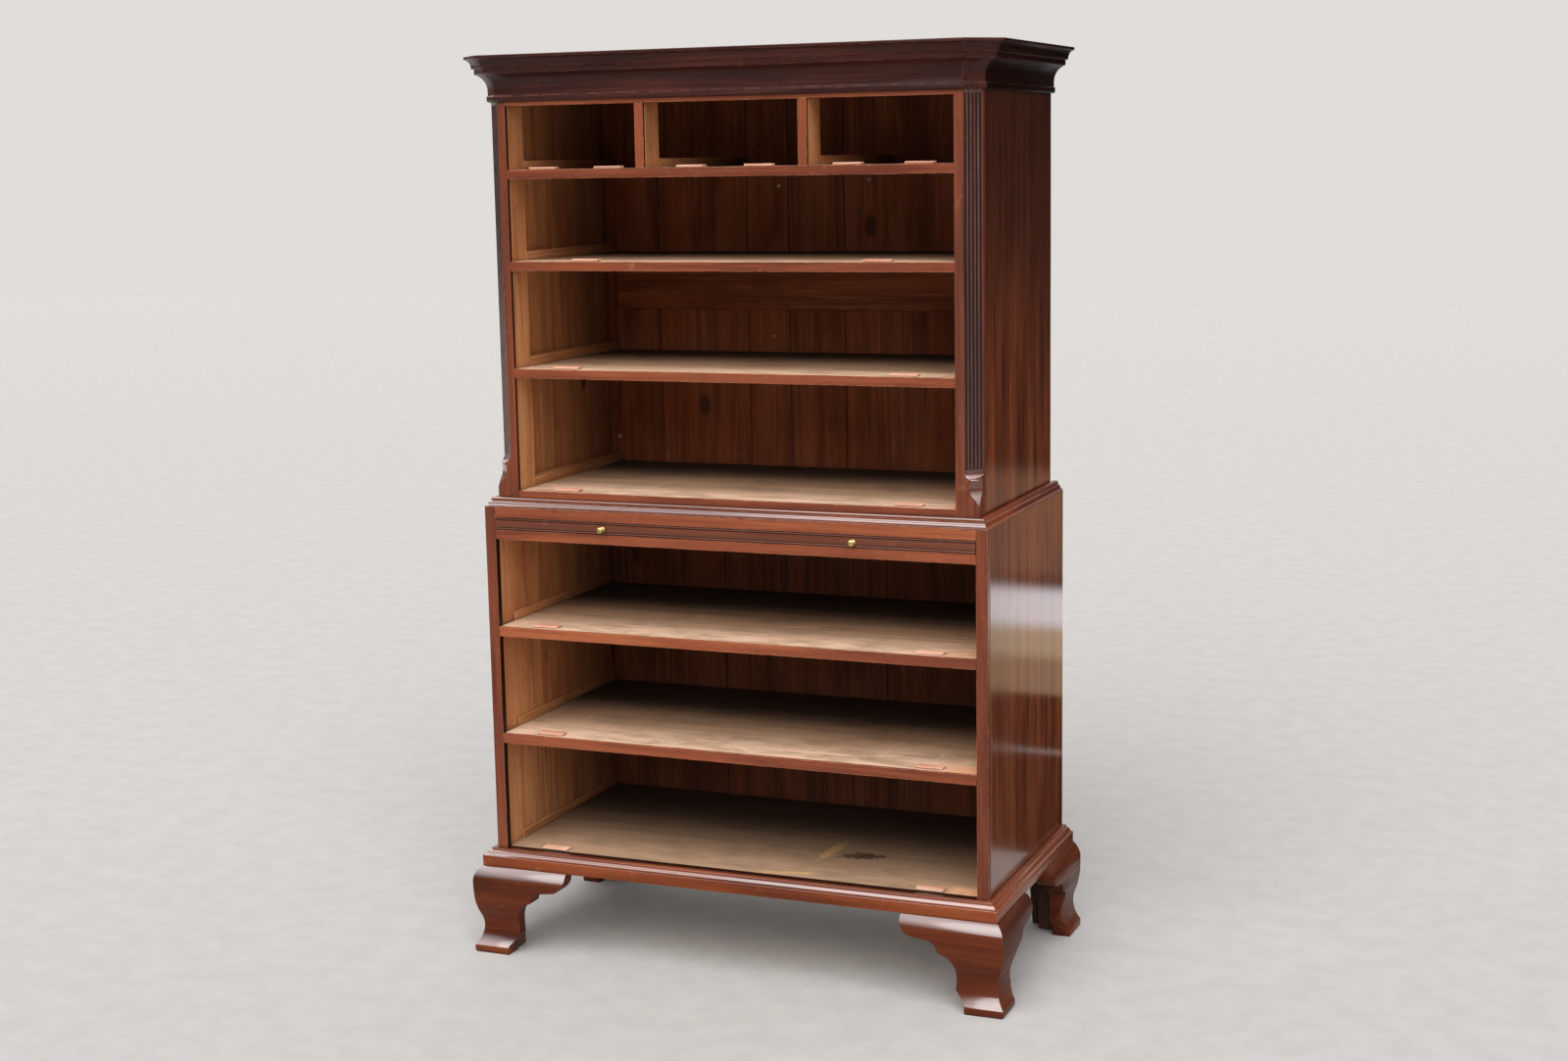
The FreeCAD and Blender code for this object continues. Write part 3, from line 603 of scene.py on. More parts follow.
def scraped(f, wood, spot, turned, long, wide, chip):
    """A ragged mark of one colour round a spot, long one way and thin the other."""
    from_spot = f.add("VectorMath", {0: f.places(), 1: spot}, operation="SUBTRACT").outputs[0]
    laid = f.add("Mapping", {"Vector": from_spot, "Rotation": (0, 0, -turned)}).outputs[0]
    sized = f.add("VectorMath", {0: laid, 1: (long, wide, 0.02)}, operation="DIVIDE").outputs[0]
    away = f.add("VectorMath", {0: sized}, operation="LENGTH").outputs["Value"]
    ragged = f.maths("SUBTRACT", f.noise(f.places(), 55.0, 4.0, 0.7), 0.5)
    away = f.plus(away, f.times(ragged, 2.6))
    return f.stain(f.spread(away, 0.75, 1.05, 0.85, 0.0), wood, chip)


def plain(name, scale, low, high, chips, smooth, rough, relief=0.0, soot_and_shade=None, **fixed):
    """A patchy finish between two chips, with soot in its hollows if a chip is given for it."""
    f = Finish(name)
    patch = f.noise(f.places(), scale, 4.0, 0.6)
    paint = f.mix(f.spread(patch, low, high), colour(chips[0]), colour(chips[1]))
    if soot_and_shade:
        paint = f.stain(f.spread(f.grime_and_shade(4 * MM), 0.2, 0.8, 0.0, 0.85), paint, soot_and_shade)
    return f.done(paint, f.spread(patch, 0.3, 0.7, smooth, rough), patch if relief else None,
                  relief, 0.1 * MM, **fixed)


# Mahogany's chips: deep, body, bright, and what its worn arrises show.
FRONT = (104, 48, 28), (146, 73, 42), (170, 94, 56), (204, 140, 98)
POST = (84, 36, 19), (120, 58, 33), (144, 77, 46), (184, 122, 84)
# The next chips are painted shadow, near black, for faces that look across a bay into shade.
REBATE_SHADOW = (26, 11, 7), (40, 19, 12), (54, 28, 18), (70, 38, 24)
RIDGE = (72, 38, 28), (104, 60, 46), (128, 82, 66), (170, 124, 104)
# The next chips are painted shade, near black, for the inside of the flutes.
FLUTE_SHADE = (16, 8, 7), (30, 14, 11), (40, 20, 16), (60, 34, 28)
SIDE = (82, 36, 21), (124, 62, 37), (146, 82, 50), (158, 96, 64)
# The cornice's chips are darkened as painted shade under its overhang, and its return's darker
# still as a painted shaded side.
CORNICE_IN_SHADE = (38, 14, 10), (60, 24, 18), (84, 38, 28), (136, 80, 58)
CORNICE_RETURN_IN_SHADE = (20, 7, 5), (34, 13, 9), (48, 20, 14), (100, 60, 46)
# The feet's chips are darkened as painted shade near the ground.
FOOT_IN_SHADE = (64, 26, 12), (98, 44, 22), (122, 60, 31), (160, 98, 62)
MOULDING = (88, 38, 19), (124, 58, 31), (146, 76, 44), (200, 150, 124)
FASCIA = (96, 42, 20), (134, 64, 32), (154, 80, 42), (196, 132, 92)
SLIDE = (84, 40, 26), (108, 56, 36), (126, 70, 47), (196, 146, 120)
# The next chips are painted shade, near black, for the slide's quirks and the gaps above and below
# it.
QUIRK_SHADE = (32, 15, 10), (46, 23, 16), (60, 32, 22), (80, 46, 32)
# Pine's chips: deep, body, pale, and the darker colour it takes deep inside the case, part age and
# part painted shade.
LINING = (176, 112, 68), (210, 146, 96), (240, 188, 138), (96, 50, 25)
DUST = (186, 148, 116), (220, 180, 146), (255, 218, 188), (24, 15, 9)
FLOOR = (132, 104, 82), (158, 128, 104), (196, 160, 130), (26, 17, 11)
BACK = (98, 48, 22), (150, 79, 37), (188, 118, 69), (122, 58, 25)
LOW_BACK = (74, 36, 17), (120, 61, 30), (154, 94, 54), (92, 44, 20)
STOP = (216, 150, 120), (244, 188, 158), (252, 214, 190), (236, 176, 142)
BLOCK = (70, 42, 26), (96, 60, 38), (122, 82, 54), (60, 36, 22)
# Of the next four chips, the first is painted shadow for the gaps between back boards, the second
# is the knots' own colour, and the last two paint shade, with some old polish and dirt, into
# corners and hollows.
SEAM_SHADOW, KNOT, POLISH_AND_SHADE, DIRT_AND_SHADE = (30, 14, 8), (42, 20, 11), (22, 9, 7), (28, 15, 8)

# Old scrapes and a stain on the lower bearers: centre, turn, half length, half width, chip.
SCRAPES = (
    ((0.143, -0.045, 0.225), 1.46, 0.08, 0.013, (206, 166, 112)),
    ((0.103, -0.217, 0.225), 0.25, 0.055, 0.009, (214, 176, 120)),
    ((0.209, -0.064, 0.225), 0.3, 0.05, 0.022, (60, 40, 28)),
    ((0.086, -0.058, 0.705), 0.31, 0.05, 0.008, (220, 186, 142)),
    ((-0.38, -0.18, 0.911), 0.1, 0.09, 0.02, (208, 160, 110)),
)

rail_mahogany = mahogany("rail", "x", FRONT, streak=0.35)
stile_mahogany = mahogany("stile", "z", POST, streak=0.35)
muntin_mahogany = mahogany("muntin", "z", FRONT, streak=0.35)
cleat_mahogany = mahogany("cleat", "y", FRONT)
# Painted shadow for faces that look across a bay.
rebate_shadow_mahogany = mahogany("rebate", "z", REBATE_SHADOW, shine=0.1, coat=0.0)
ridge_mahogany = mahogany("flute_ridges", "z", RIDGE, gloss=0.25, coat=0.35, soot_and_shade=0.3)
# Painted shade inside the flutes.
flute_shade_mahogany = mahogany("flutes", "z", FLUTE_SHADE, gloss=0.16, coat=0.5, soot_and_shade=0.4)
tongue_mahogany = mahogany("tongue", "z", POST, gloss=0.16, coat=1.0, streak=0.2, shine=0.6,
                           relief=0.0, wear=0.3)
side_mahogany = mahogany("side", "z", SIDE, gloss=0.12, streak=0.35, coat=0.22, painted_side_shade=0.75,
                         shine=0.5, bands=0.6, pored=0.0, relief=0.02)
# The cornice and its return are painted in shade.
cornice_mahogany = mahogany("cornice", "x", CORNICE_IN_SHADE, reach=14 * MM, gloss=0.3, coat=0.05,
                            shine=0.2)
cornice_return_mahogany = mahogany("cornice_return", "y", CORNICE_RETURN_IN_SHADE, reach=14 * MM,
                                   gloss=0.34, coat=0.0, shine=0.12)
moulding_mahogany = mahogany("moulding", "x", MOULDING, gloss=0.16, coat=1.0, reach=4 * MM,
                             streak=0.1, shine=0.6, relief=0.0, wear=0.1, pored=0.1, soot_and_shade=0.7)
moulding_return_mahogany = mahogany("moulding_return", "y", MOULDING, gloss=0.3, coat=0.2,
                                    reach=6 * MM, streak=0.3, relief=0.04, wear=0.4)
fascia_mahogany = mahogany("fascia", "x", FASCIA, gloss=0.4, coat=0.0, shine=0.2, streak=0.3,
                           relief=0.04)
# The feet take chips darkened as painted shade.
foot_mahogany = mahogany("foot", "x", FOOT_IN_SHADE, streak=0.3, coat=0.0, shine=0.14, relief=0.05)
foot_return_mahogany = mahogany("foot_return", "y", FOOT_IN_SHADE, streak=0.35, coat=0.0, shine=0.14)
shoulder_mahogany = mahogany("foot_shoulder", "x", FOOT_IN_SHADE, gloss=0.2, streak=0.1, coat=1.0,
                             shine=0.6, relief=0.0, wear=0.1, pored=0.1)
slide_mahogany = mahogany("slide_edge", "x", SLIDE, gloss=0.34, streak=0.25, relief=0.03)
quirk_shade_mahogany = mahogany("slide_quirks", "x", QUIRK_SHADE, shine=0.1, coat=0.0)
upright_pine = pine("upright", "z", LINING, knot_size=0.14, knot_chance=0.6)
guide_pine = pine("guide", "y", LINING)
dust_pine = pine("dustboard", "x", DUST, dust=0.5, knot_chance=0.15, front=-0.09, back=0.14,
                 age_and_shade=0.95)
upper_dust_pine = pine("upper_dustboard", "x", DUST, dust=0.5, knot_chance=0.15, front=-0.05,
                       back=0.2, age_and_shade=0.95)
floor_pine = pine("floor", "x", FLOOR, dust=0.7, knot_chance=0.15, front=-0.14, back=0.16,
                  age_and_shade=0.9)
top_pine = pine("top", "x", FLOOR, dust=0.6, knot_chance=0.3, age_and_shade=0.3)
low_back_pine = pine("low_back", "z", LOW_BACK, knot_size=0.13, knot_chance=0.9, worn=0.8,
                     age_and_shade=0.3, edge=SEAM_SHADOW, reach=60 * MM)
back_pine = pine("back", "z", BACK, knot_size=0.13, knot_chance=0.9, worn=0.8, age_and_shade=0.3,
                 edge=SEAM_SHADOW, reach=60 * MM)
level_back_pine = pine("back_rail", "x", BACK, knot_size=0.12, knot_chance=0.8, worn=0.5,
                       age_and_shade=0.3, edge=SEAM_SHADOW, reach=60 * MM)
block_pine = pine("foot_block", "z", BLOCK)
stop_pine = pine("stop", "x", STOP, knot_chance=0.0)
knob_brass = plain("brass", 260.0, 0.35, 0.65, ((150, 120, 62), (214, 190, 128)), 0.24, 0.42,
                   relief=0.1, soot_and_shade=(58, 42, 20), Metallic=1.0)
screw_iron = plain("iron", 420.0, 0.4, 0.65, ((186, 178, 164), (110, 92, 76)), 0.4, 0.7,
                   relief=0.3, Metallic=0.3)
pale_floor = plain("ground", 14.0, 0.3, 0.7, ((208, 205, 202), (216, 213, 210)), 0.8, 0.9,
                   Specular_IOR_Level=0.1)


def lay(piece, finish):
    """Give the whole piece one finish."""
    piece.data.materials.clear()
    piece.data.materials.append(finish)


def give(piece, finish, body, node):
    """Finish a piece, let it ride on its body and hide the node it stands for."""
    if finish:
        lay(piece, finish)
    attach(piece, body)
    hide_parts(node)
    return piece


def looks_up(face):
    return face.normal.z > 0.3


def face_finish(piece, finish, test):
    """Give the faces that pass the test a second finish."""
    piece.data.materials.append(finish)
    for face in piece.data.polygons:
        if test(face):
            face.material_index = len(piece.data.materials) - 1


# ---------------------------------------------------------------- carcass boards

def drawn_together(boxes):
    """Boards side by side, widened until they just meet."""
    for (_, high), (next_low, _) in zip(boxes, boxes[1:]):
        middle = (high.x + next_low.x) / 2
        high.x, next_low.x = middle + 0.3 * MM, middle - 0.3 * MM
    return boxes


def board_from(node, name, finish, body, index, ease=0.7 * MM):
    """The single board of a node."""
    return give(board(name, *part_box(node), index, ease), finish, body, node)


def boards_from(node, name, finish, body, first_index, ease=0.7 * MM, meet=False):
    """Every board of a node, glued into one piece."""
    pieces = []
    boxes = solids_of(node)
    for index, (low, high) in enumerate(drawn_together(boxes) if meet else boxes):
        pieces.append(board("%s_%d" % (name, index + 1), low, high, first_index + index, ease))
    return give(join_up(name, pieces), finish, body, node)


def make_sides():
    """The four case sides: mahogany outside, pine lining inside."""
    sides = (("upper", "left", -1), ("upper", "right", 1), ("lower", "left", -1),
             ("lower", "right", 1))
    for index, (chest, side, outward) in enumerate(sides):
        node = "%s_side_%s" % (chest, side)
        piece = board_from(node, node + "_panel", side_mahogany,
                           chest + "_chest", index + 2, 1 * MM)
        face_finish(piece, upright_pine, lambda face, way=outward: face.normal.x * way < -0.5)


def looks_inward(face):
    """Whether a face looks across its bay, from its own side towards the middle."""
    return face.normal.x * face.center.x < 0 and abs(face.normal.x) > 0.9


def make_fronts():
    """The mahogany that faces the front: stiles, rail facings, muntins and top rails."""
    stiles = boards_from("lower_stiles", "lower_stile_pair", stile_mahogany,
                         "lower_chest", 11)
    # Faces of stiles and muntins that look across a bay get a painted shadow.
    face_finish(stiles, rebate_shadow_mahogany, looks_inward)
    muntins = boards_from("muntins", "muntin_pair", muntin_mahogany, "upper_chest", 15)
    face_finish(muntins, rebate_shadow_mahogany, lambda face: abs(face.normal.x) > 0.9)
    for chest, first in (("upper", 21), ("lower", 31)):
        boards_from(chest + "_rail_facings", chest + "_facings", rail_mahogany,
                    chest + "_chest", first)
    for index, (node, body) in enumerate((("upper_top_rail", "upper_chest"),
                                          ("lower_top_rail", "lower_chest"),
                                          ("base_rail", "lower_chest"))):
        piece = board_from(node, node + "_board", rail_mahogany, body, index + 41)
        if node == "base_rail":
            # The base rail's top gets the same painted shadow, as a dark line along the front edge
            # of the floor.
            face_finish(piece, rebate_shadow_mahogany, lambda face: face.normal.z > 0.9)


def make_bearers():
    """The pine rails behind the facings, and the dustboards that run back from them."""
    for index, chest in enumerate(("upper", "lower")):
        body = chest + "_chest"
        finish = upper_dust_pine if chest == "upper" else dust_pine
        for level, letter in enumerate("abc"):
            number = 50 + index * 10 + level
            rail = "%s_%s_rail" % (chest, letter)
            dust = "%s_%s_dustboard" % (chest, letter)
            board_from(rail, rail + "_core", finish, body, number)
            board_from(dust, dust + "_panel", finish, body, number + 5, 0.4 * MM)


def make_floors_and_tops():
    for index, (chest, finish) in enumerate((("upper", upper_dust_pine), ("lower", floor_pine))):
        node = chest + "_floor_board"
        board_from(node, node + "_panel", finish, chest + "_chest", 71 + index)
    board_from("upper_floor_rail", "upper_floor_core", upper_dust_pine, "upper_chest", 75)
    for index, chest in enumerate(("upper", "lower")):
        node = chest + "_top_board"
        board_from(node, node + "_panel", top_pine, chest + "_chest", 77 + index)


def make_linings():
    """Packings behind the posts, posts behind the muntins, and the drawers' side guides."""
    for name, node, finish, body, first in (
            ("post_packings", "post_packing_pair", upright_pine, "upper_chest", 81),
            ("muntin_posts", "muntin_post_pair", upright_pine, "upper_chest", 85),
            ("upper_guides", "upper_guide_strips", guide_pine, "upper_chest", 91),
            ("lower_guides", "lower_guide_strips", guide_pine, "lower_chest", 103)):
        boards_from(name, node, finish, body, first)


def make_backs():
    """Upright back boards, widened until they meet edge to edge (their grooves are not cut), with
    a cross rail in the upper chest.
    """
    for chest, finish, first in (("upper", back_pine, 113), ("lower", low_back_pine, 119)):
        boards_from(chest + "_back_boards", chest + "_backing", finish,
                    chest + "_chest", first, ease=1.4 * MM, meet=True)
    board_from("upper_back_rail", "upper_back_cross_rail", level_back_pine,
               "upper_chest", 123, 1.2 * MM)


def make_stops():
    """Drawer stops: small split blocks, glued and pinned to the bearers."""
    for chest, first in (("upper", 131), ("lower", 145)):
        node = chest + "_stops"
        stops = []
        for index, (low, high) in enumerate(solids_of(node)):
            stop = board("stop", low, high, first + index, ease=0.9 * MM, wander=0.4 * MM)
            chip_corner(stop, low, high, (-1) ** index)
            stops.append(stop)
        give(join_up(node + "_row", stops), stop_pine, chest + "_chest", node)


def chip_corner(stop, low, high, way):
    """Split one front corner off a stop."""
    corner = Vector((high.x if way > 0 else low.x, low.y, high.z))
    begin_edit(stop)
    choose_all()
    normal = Vector((way * 0.75, -0.9, 0.55)).normalized()
    bpy.ops.mesh.bisect(plane_co=corner - normal * 2.6 * MM, plane_no=normal, use_fill=True,
                        clear_outer=True)
    end_edit()


# ---------------------------------------------------------------- posts, mouldings and feet

def make_corner_posts():
    """The canted and fluted posts with a lamb's tongue at the foot."""
    for index, side in enumerate(("left", "right")):
        node = "corner_post_" + side
        piece = merged_copy(node, "fluted_post_" + side)
        soften(piece, 151 + index, 0.35 * MM, 48, 30, segments=1)
        give(piece, stile_mahogany, "upper_chest", node)
        # Faces that look across the bay get a painted shadow, and the flutes painted shade.
        face_finish(piece, rebate_shadow_mahogany, looks_inward)
        face_finish(piece, ridge_mahogany, in_the_cant)
        face_finish(piece, flute_shade_mahogany, in_a_flute)
        face_finish(piece, tongue_mahogany, in_the_tongue)


def below_cant(spot):
    """How far a spot lies behind the flat of the canted corner."""
    return (UPPER_HALF - CANT - abs(spot.x) + spot.y - UPPER_FRONT) / math.sqrt(2)


def in_the_cant(face):
    """The flat of the canted corner above the lamb's tongue, with its flutes."""
    inset = abs(face.center.x) - (UPPER_HALF - CANT)
    return face.center.z > TONGUE_LEDGE and -0.3 * MM < below_cant(face.center) < 3 * MM \
        and 0.5 * MM < inset < CANT - 0.5 * MM


def in_a_flute(face):
    return in_the_cant(face) and below_cant(face.center) > 0.12 * MM


def in_the_tongue(face):
    """The carved stop under the flutes: its ledge, its hollow and its tip."""
    inset = abs(face.center.x) - (UPPER_HALF - CANT)
    slanted = min(abs(face.normal.x), abs(face.normal.y)) > 0.1 or face.normal.z > 0.2
    return face.center.z < TONGUE_LEDGE + 12 * MM and below_cant(face.center) < 20 * MM \
        and -0.5 * MM < inset < CANT + 0.5 * MM and slanted and face.normal.z > -0.9


def make_cornice():
    """Five mitred lengths: two returns, two across the cants and the long front one."""
    low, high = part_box("cornice_front")
    wall, front, back = UPPER_HALF, UPPER_FRONT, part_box("upper_side_right")[1].y
    section = cornice_section(front - low.y, high.z - low.z)
    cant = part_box("cornice_cants")[1].y - front
    flank, facet = back - front - cant, cant * math.sqrt(2)
    runs = (
        ("cornice_left_run", (-wall, back), -QUARTER, flank, 0, EIGHTH, 161),
        ("cornice_front_run", (cant - wall, front), 0, 2 * (wall - cant), EIGHTH, EIGHTH, 162),
        ("cornice_right_run", (wall, front + cant), QUARTER, flank, EIGHTH, 0, 163),
        ("cant_left", (-wall, front + cant), -EIGHTH, facet, EIGHTH, EIGHTH, 165),
        ("cant_right", (wall - cant, front), EIGHTH, facet, EIGHTH, EIGHTH, 166),
    )
    left, middle, right, *cants = [moulding(name, section, (*spot, low.z), *rest)
                                   for name, spot, *rest in runs]
    for piece, finish, node in ((left, cornice_return_mahogany, "cornice_left"),
                                (middle, cornice_mahogany, "cornice_front"),
                                (right, cornice_return_mahogany, "cornice_right"),
                                (join_up("cornice_cant_pair", cants), cornice_mahogany,
                                 "cornice_cants")):
        give(piece, finish, "upper_chest", node)


def make_case_mouldings():
    """Round the waist and the base: a front length mitred to two side ones."""
    for label, profile, first in (("waist", waist_section, 171), ("base", base_section, 175)):
        node = label + "_moulding_"
        low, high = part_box(node + "front")
        wall, front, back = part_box(node + "right")[0].x, high.y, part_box(node + "right")[1].y
        section = profile(front - low.y, high.z - low.z)
        runs = (("left", (-wall, back), -QUARTER, back - front, 0, QUARTER),
                ("front", (-wall, front), 0, 2 * wall, QUARTER, QUARTER),
                ("right", (wall, front), QUARTER, back - front, QUARTER, 0))
        for index, (name, spot, heading, length, near, far) in enumerate(runs):
            piece = moulding("%s_%s_run" % (label, name), section, (*spot, low.z), heading, length,
                             near, far, first + index)
            finish = fascia_mahogany if name == "front" else moulding_return_mahogany
            give(piece, finish, "lower_chest", node + name)
            if name == "front":
                face_finish(piece, moulding_mahogany, looks_up)


def bracket_waste(inner, tall):
    """The outline of the wood sawn from under a bracket, measured from the foot's corner."""
    def out_to(share):
        return NECK + share * (inner - NECK)
    shape = [(PAD_LONG, -2 * MM), (PAD_LONG, tall * 0.1), (NECK, tall * 0.23),
             (NECK - 1 * MM, tall * 0.44, -0.3), (out_to(0.23), tall * 0.62, -0.038),
             (out_to(0.3), tall * 0.635), (out_to(0.52), tall * 0.765, -0.026),
             (out_to(0.72), tall * 0.78), (inner, tall * 0.94, 0.034),
             (inner, tall + 2 * MM), (inner + 0.03, tall + 2 * MM), (inner + 0.03, -2 * MM)]
    return traced(shape)


def foot_bracket(name, spot, heading, at_start, out, long, tall, mitred, index):
    """One ogee bracket: a run of the foot's section with its shape sawn out underneath."""
    reach = out if mitred else 0
    length = long - reach
    turns = (QUARTER if mitred else 0, 0)
    near, far = turns if at_start else turns[::-1]
    piece = moulding(name, foot_section(out, tall), (0, 0, 0), 0, length, near, far, index, ease=0)
    corner = -reach if at_start else length + reach
    way = 1 if at_start else -1
    outline = [(corner + way * point.x, point.y) for point in bracket_waste(long, tall)]
    waste = cut_out("waste", outline, WASTE)
    put(waste, (0, -WASTE / 2, 0))
    saw_off(piece, waste)
    put(piece, spot, heading)
    return soften(piece, index, 1.0 * MM, 42, 38)


def make_front_feet():
    """Two mitred ogee brackets to each front foot."""
    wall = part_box("lower_side_right")[1].x
    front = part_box("base_rail")[0].y
    for side, name, first_index in ((-1, "left", 181), (1, "right", 184)):
        node = "foot_front_" + name
        low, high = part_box(node)
        out, tall, long = front - low.y, high.z - low.z, high.x - low.x
        inner = long - out
        starts = side < 0
        face_spot = (-wall if starts else wall - inner, front, 0)
        flank_spot = (side * wall, front + inner if starts else front, 0)
        face = foot_bracket("face", face_spot, 0, starts, out, long, tall, True, first_index)
        flank = foot_bracket("flank", flank_spot, side * QUARTER, not starts, out, long, tall,
                             True, first_index + 1)
        lay(face, foot_mahogany)
        lay(flank, foot_return_mahogany)
        face_finish(face, shoulder_mahogany, looks_up)
        give(join_up("ogee_" + node, [face, flank]), None, "lower_chest", node)


def make_rear_feet():
    """One ogee bracket on each side, a plain sloped board behind, and glue blocks inside."""
    for side, name, index in ((-1, "left", 187), (1, "right", 188)):
        node = "foot_rear_" + name
        low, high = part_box(node)
        out, tall, long = high.x - low.x, high.z - low.z, high.y - low.y
        starts = side < 0
        spot = (high.x, high.y, 0) if starts else (low.x, low.y, 0)
        piece = foot_bracket("ogee_" + node, spot, side * QUARTER, starts, out, long, tall, False,
                             index)
        give(piece, foot_return_mahogany, "lower_chest", node)
    make_rear_brackets()
    boards_from("foot_blocks", "foot_glue_blocks", block_pine, "lower_chest", 191)


def make_rear_brackets():
    low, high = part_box("rear_foot_brackets")
    reach, tall = 170 * MM, high.z - low.z
    outline = [(0, 0), (62 * MM, 0), (70 * MM, 0.6 * tall), (reach, 0.85 * tall), (reach, tall),
               (0, tall)]
    pair = []
    for index, (corner, way) in enumerate(((low.x, 1), (high.x, -1))):
        shape = [(corner + way * x, z) for x, z in outline]
        piece = cut_out("rear_bracket", shape, high.y - low.y)
        put(piece, (0, low.y, 0))
        pair.append(plane_off(piece, 195 + index, 0.8 * MM))
    give(join_up("rear_bracket_pair", pair), block_pine, "lower_chest",
         "rear_foot_brackets")


# ---------------------------------------------------------------- brushing slide

def make_slide():
    """A clamped board with a beaded front edge."""
    low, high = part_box("slide_front_edge")
    section = slide_section(high.y - low.y, high.z - low.z)
    edge = moulding("slide_beaded_edge", section, (low.x, high.y, low.z), 0, high.x - low.x, 0, 0,
                    201, ease=0.25 * MM)
    give(edge, slide_mahogany, "brushing_slide", "slide_front_edge")

    # The quirks and the slide's top and bottom faces take a painted shade.
    def in_a_quirk(face):
        inset = min(face.center.z - low.z, high.z - face.center.z)
        return inset < 0.7 * MM or 3.2 * MM < inset < 4.7 * MM
    face_finish(edge, quirk_shade_mahogany, in_a_quirk)
    board_from("slide_panel", "slide_top_panel", rail_mahogany, "brushing_slide", 203,
               0.5 * MM)
    boards_from("slide_cleats", "slide_cleat_pair", cleat_mahogany, "brushing_slide",
                205, ease=0.5 * MM)


def knob(name, centre, low_y, high_y, radius):
    """A small turned knob: a rose, a neck and a flattened ball."""
    long = high_y - low_y
    shape = [(0, 0), (0.75 * radius, 0), (0.78 * radius, 0.5 * MM), (0.7 * radius, 1.1 * MM),
             (0.45 * radius, 2 * MM), (0.42 * radius, long - 1.45 * radius),
             (0.62 * radius, long - 1.2 * radius), (0.9 * radius, long - 0.95 * radius),
             (radius, long - 0.62 * radius), (0.93 * radius, long - 0.32 * radius),
             (0.72 * radius, long - 0.12 * radius), (0.4 * radius, long - 0.02 * radius),
             (0, long)]
    points = [Vector((centre.x + across, high_y - up, centre.z)) for across, up in shape]
    piece = draw_line(points)
    choose_all()
    bpy.ops.mesh.spin(steps=32, angle=2 * math.pi, center=(centre.x, high_y, centre.z),
                      axis=(0, 1, 0))
    choose_all()
    bpy.ops.mesh.remove_doubles(threshold=WELD)
    face_out()
    end_edit()
    piece.name = name
    smooth_over(piece, 50)
    tint(piece, 1)
    return piece


def make_knobs():
    knobs_made = []
    for low, high in solids_of("slide_knobs"):
        knobs_made.append(knob("knob", (low + high) / 2, low.y, high.y, (high.x - low.x) / 2))
    give(join_up("slide_brass_knobs", knobs_made), knob_brass, "brushing_slide",
         "slide_knobs")


def make_screws():
    """Slotted round heads that hold the back boards; each slot stands its own way."""
    heads = []
    for index, (low, high) in enumerate(solids_of("back_screws")):
        centre, radius, proud = (low + high) / 2, (high.x - low.x) / 2, high.y - low.y
        only()
        bpy.ops.mesh.primitive_cylinder_add(vertices=32, radius=radius, depth=proud,
                                            location=centre, rotation=(QUARTER, 0, 0))
        head = bpy.context.object
        settle()
        begin_edit(head, "FACE")
        pick_points(head, lambda spot: spot.y < centre.y)
        bpy.ops.mesh.inset(thickness=radius * 0.3, depth=0)
        bpy.ops.mesh.extrude_region_move(TRANSFORM_OT_translate={"value": (0, -0.1 * MM, 0)})
        bpy.ops.transform.resize(value=(0.7, 1, 0.7))
        end_edit()
        only()
        bpy.ops.mesh.primitive_cube_add(size=1, location=(centre.x, low.y, centre.z),
                                        rotation=(0, 0.5 + index * 1.1, 0),
                                        scale=(radius * 3, 0.9 * MM, 1.1 * MM))
        slot = bpy.context.object
        settle()
        saw_off(head, slot)
        smooth_over(head, 30)
        tint(head, index)
        heads.append(head)
    give(join_up("back_screw_heads", heads), screw_iron, "upper_chest",
         "back_screws")


# ---------------------------------------------------------------- room, lights and camera

def make_ground():
    only()
    bpy.ops.mesh.primitive_plane_add(size=40, location=(0, 0, 0))
    ground = bpy.context.object
    ground.name = "ground"
    ground.data.materials.append(pale_floor)


def make_world():
    """A pale room: even to the eye, and for what is polished a bright sky over a dim horizon."""
    f = Finish("pale_room", bpy.data.worlds)
    height = f.add("SeparateXYZ", {0: f.add("TexCoord").outputs["Generated"]}).outputs[2]
    rising = f.add("MapRange", {"Value": height, "From Min": 0.15, "From Max": 0.7,
                                "To Min": 0.18, "To Max": 4.2}).outputs["Result"]
    path = f.add("LightPath")
    shown = f.tree.nodes["Background"]
    f.plug((0.98, 0.98, 0.98, 1), shown.inputs["Color"])
    f.plug(0.42, shown.inputs["Strength"])
    for seen_by, paint, strength in (("Is Glossy Ray", (0.97, 0.98, 1.0, 1), rising),
                                     ("Is Camera Ray", (1.0, 0.970, 0.941, 1), 0.745)):
        room = f.add("Background", {"Color": paint, "Strength": strength})
        shown = f.add("MixShader", {0: path.outputs[seen_by], 1: shown.outputs[0],
                                    2: room.outputs[0]})
    f.plug(shown.outputs[0], f.tree.nodes["World Output"].inputs["Surface"])
    bpy.context.scene.world = f.made


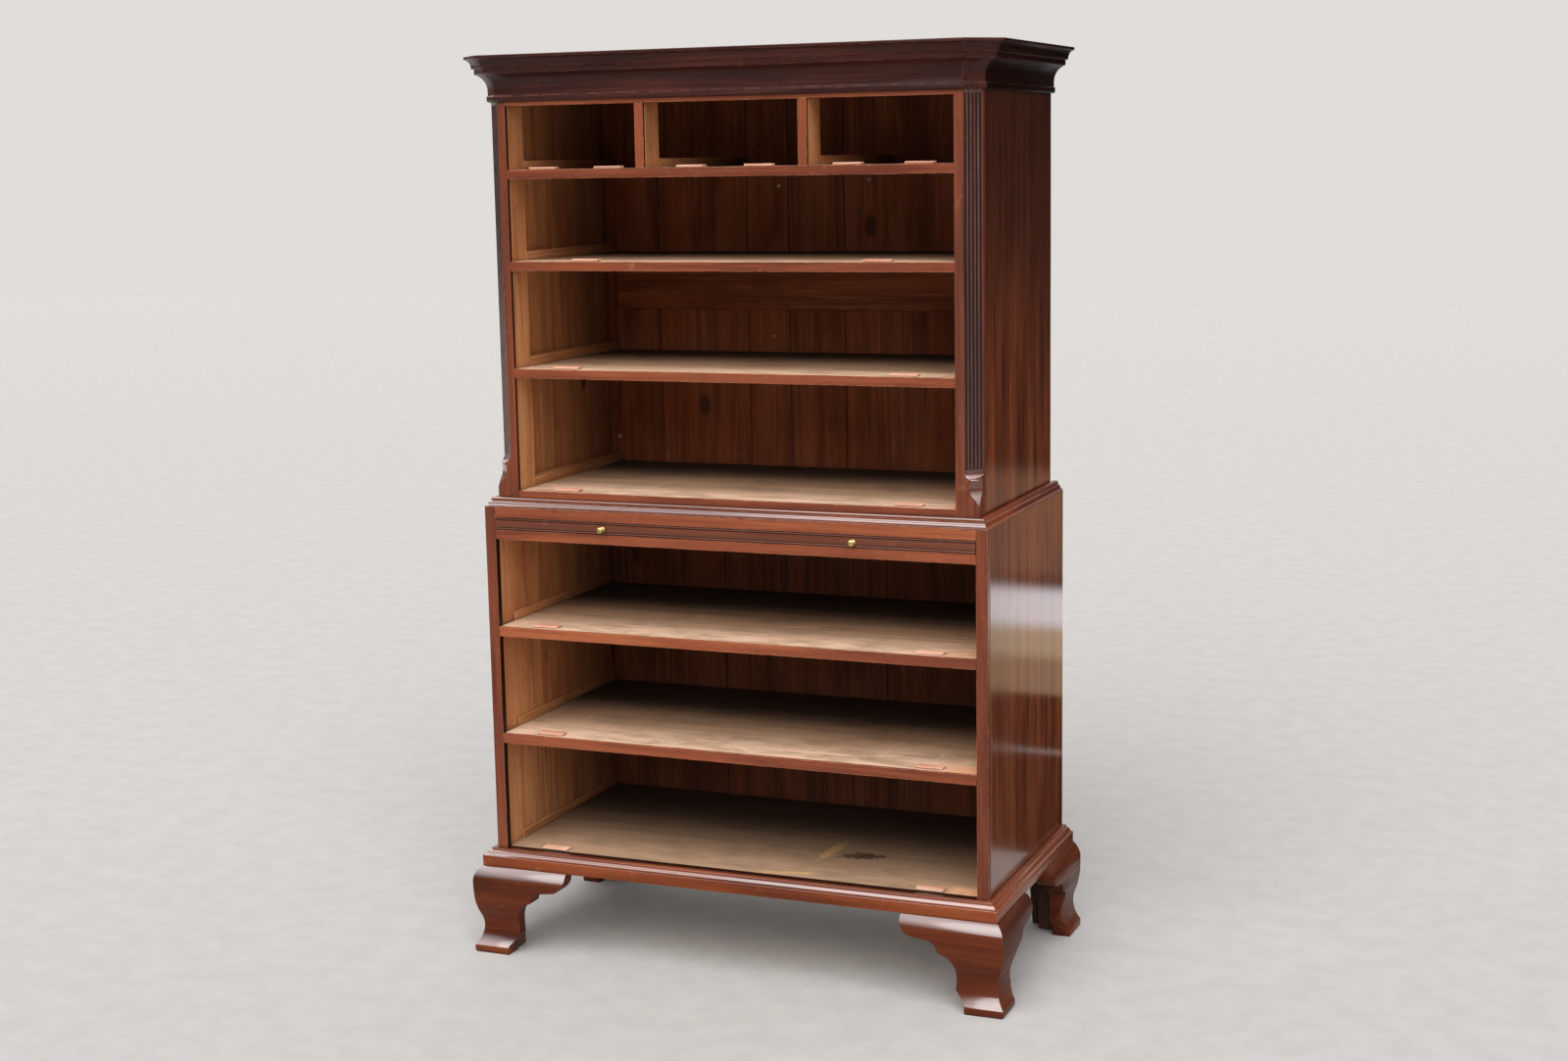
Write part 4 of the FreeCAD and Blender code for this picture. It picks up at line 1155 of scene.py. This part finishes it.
def make_flag():
    """A dark flag behind the right side, seen only in the polish, with pale bands across it."""
    only()
    bpy.ops.mesh.primitive_plane_add(size=1, location=(2.3, 0.75, 2.2), rotation=(QUARTER, 0, 0))
    flag = bpy.context.object
    flag.name = "dark_flag"
    flag.scale = (3.5, 4.4, 1)
    settle()
    f = Finish("flag_cloth")
    height = f.add("SeparateXYZ", {0: f.places()}).outputs[2]
    shade = f.mix(f.noise(f.places(), 30.0), colour((26, 24, 23)), colour((40, 37, 35)))
    bands = ((0.25, 0.262, 0.002, (0.4, 0.38, 0.37)), (0.395, 0.49, 0.006, (0.52, 0.39, 0.25)),
             (0.485, 0.57, 0.012, (0.92, 0.74, 0.5)), (0.56, 0.65, 0.018, (1.7, 1.68, 1.76)),
             (0.68, 0.93, 0.03, (0.3, 0.18, 0.125)))
    for low, high, soft, band in bands:
        inside = f.times(f.spread(height, low - soft, low + soft),
                         f.spread(height, high - soft, high + soft, 1.0, 0.0))
        shade = f.mix(inside, shade, (*band, 1))
    for socket, value in (("Emission Color", shade), ("Emission Strength", 1.0),
                          ("Base Color", (0, 0, 0, 1)), ("Specular IOR Level", 0)):
        f.plug(value, f.shader.inputs[socket])
    flag.data.materials.append(f.made)
    flag.visible_camera = flag.visible_diffuse = flag.visible_shadow = False


def make_lights():
    make_world()
    make_flag()
    data = bpy.data.lights.new("open_sky", "SUN")
    data.energy = 2.6
    data.angle = math.radians(64)
    sky = placed("open_sky", data)
    sky.rotation_euler = Vector((-0.2, 1.0, -1.05)).to_track_quat("-Z", "Y").to_euler()


def make_camera():
    data = bpy.data.cameras.new("camera")
    data.sensor_width = 36
    data.sensor_fit = "HORIZONTAL"
    data.lens = CAMERA_LENS
    data.shift_x = CAMERA_SHIFT
    camera = placed("camera", data)
    yaw, pitch, roll = (math.radians(angle) for angle in CAMERA_TURNS)
    ahead = Vector((-math.sin(yaw) * math.cos(pitch), math.cos(yaw) * math.cos(pitch),
                    math.sin(pitch)))
    right = Vector((math.cos(yaw), math.sin(yaw), 0))
    up = right.cross(ahead)
    across = right * math.cos(roll) + up * math.sin(roll)
    above = up * math.cos(roll) - right * math.sin(roll)
    camera.matrix_world = Matrix((across, above, -ahead)).transposed().to_4x4()
    camera.location = CAMERA_AT
    bpy.context.scene.camera = camera


# ---------------------------------------------------------------- build

make_camera()
make_ground()
make_lights()
make_sides()
make_fronts()
make_bearers()
make_floors_and_tops()
make_linings()
make_backs()
make_stops()
make_corner_posts()
make_cornice()
make_case_mouldings()
make_front_feet()
make_rear_feet()
make_slide()
make_knobs()
make_screws()

bpy.context.scene.view_settings.view_transform = "Standard"
bpy.context.view_layer.update()
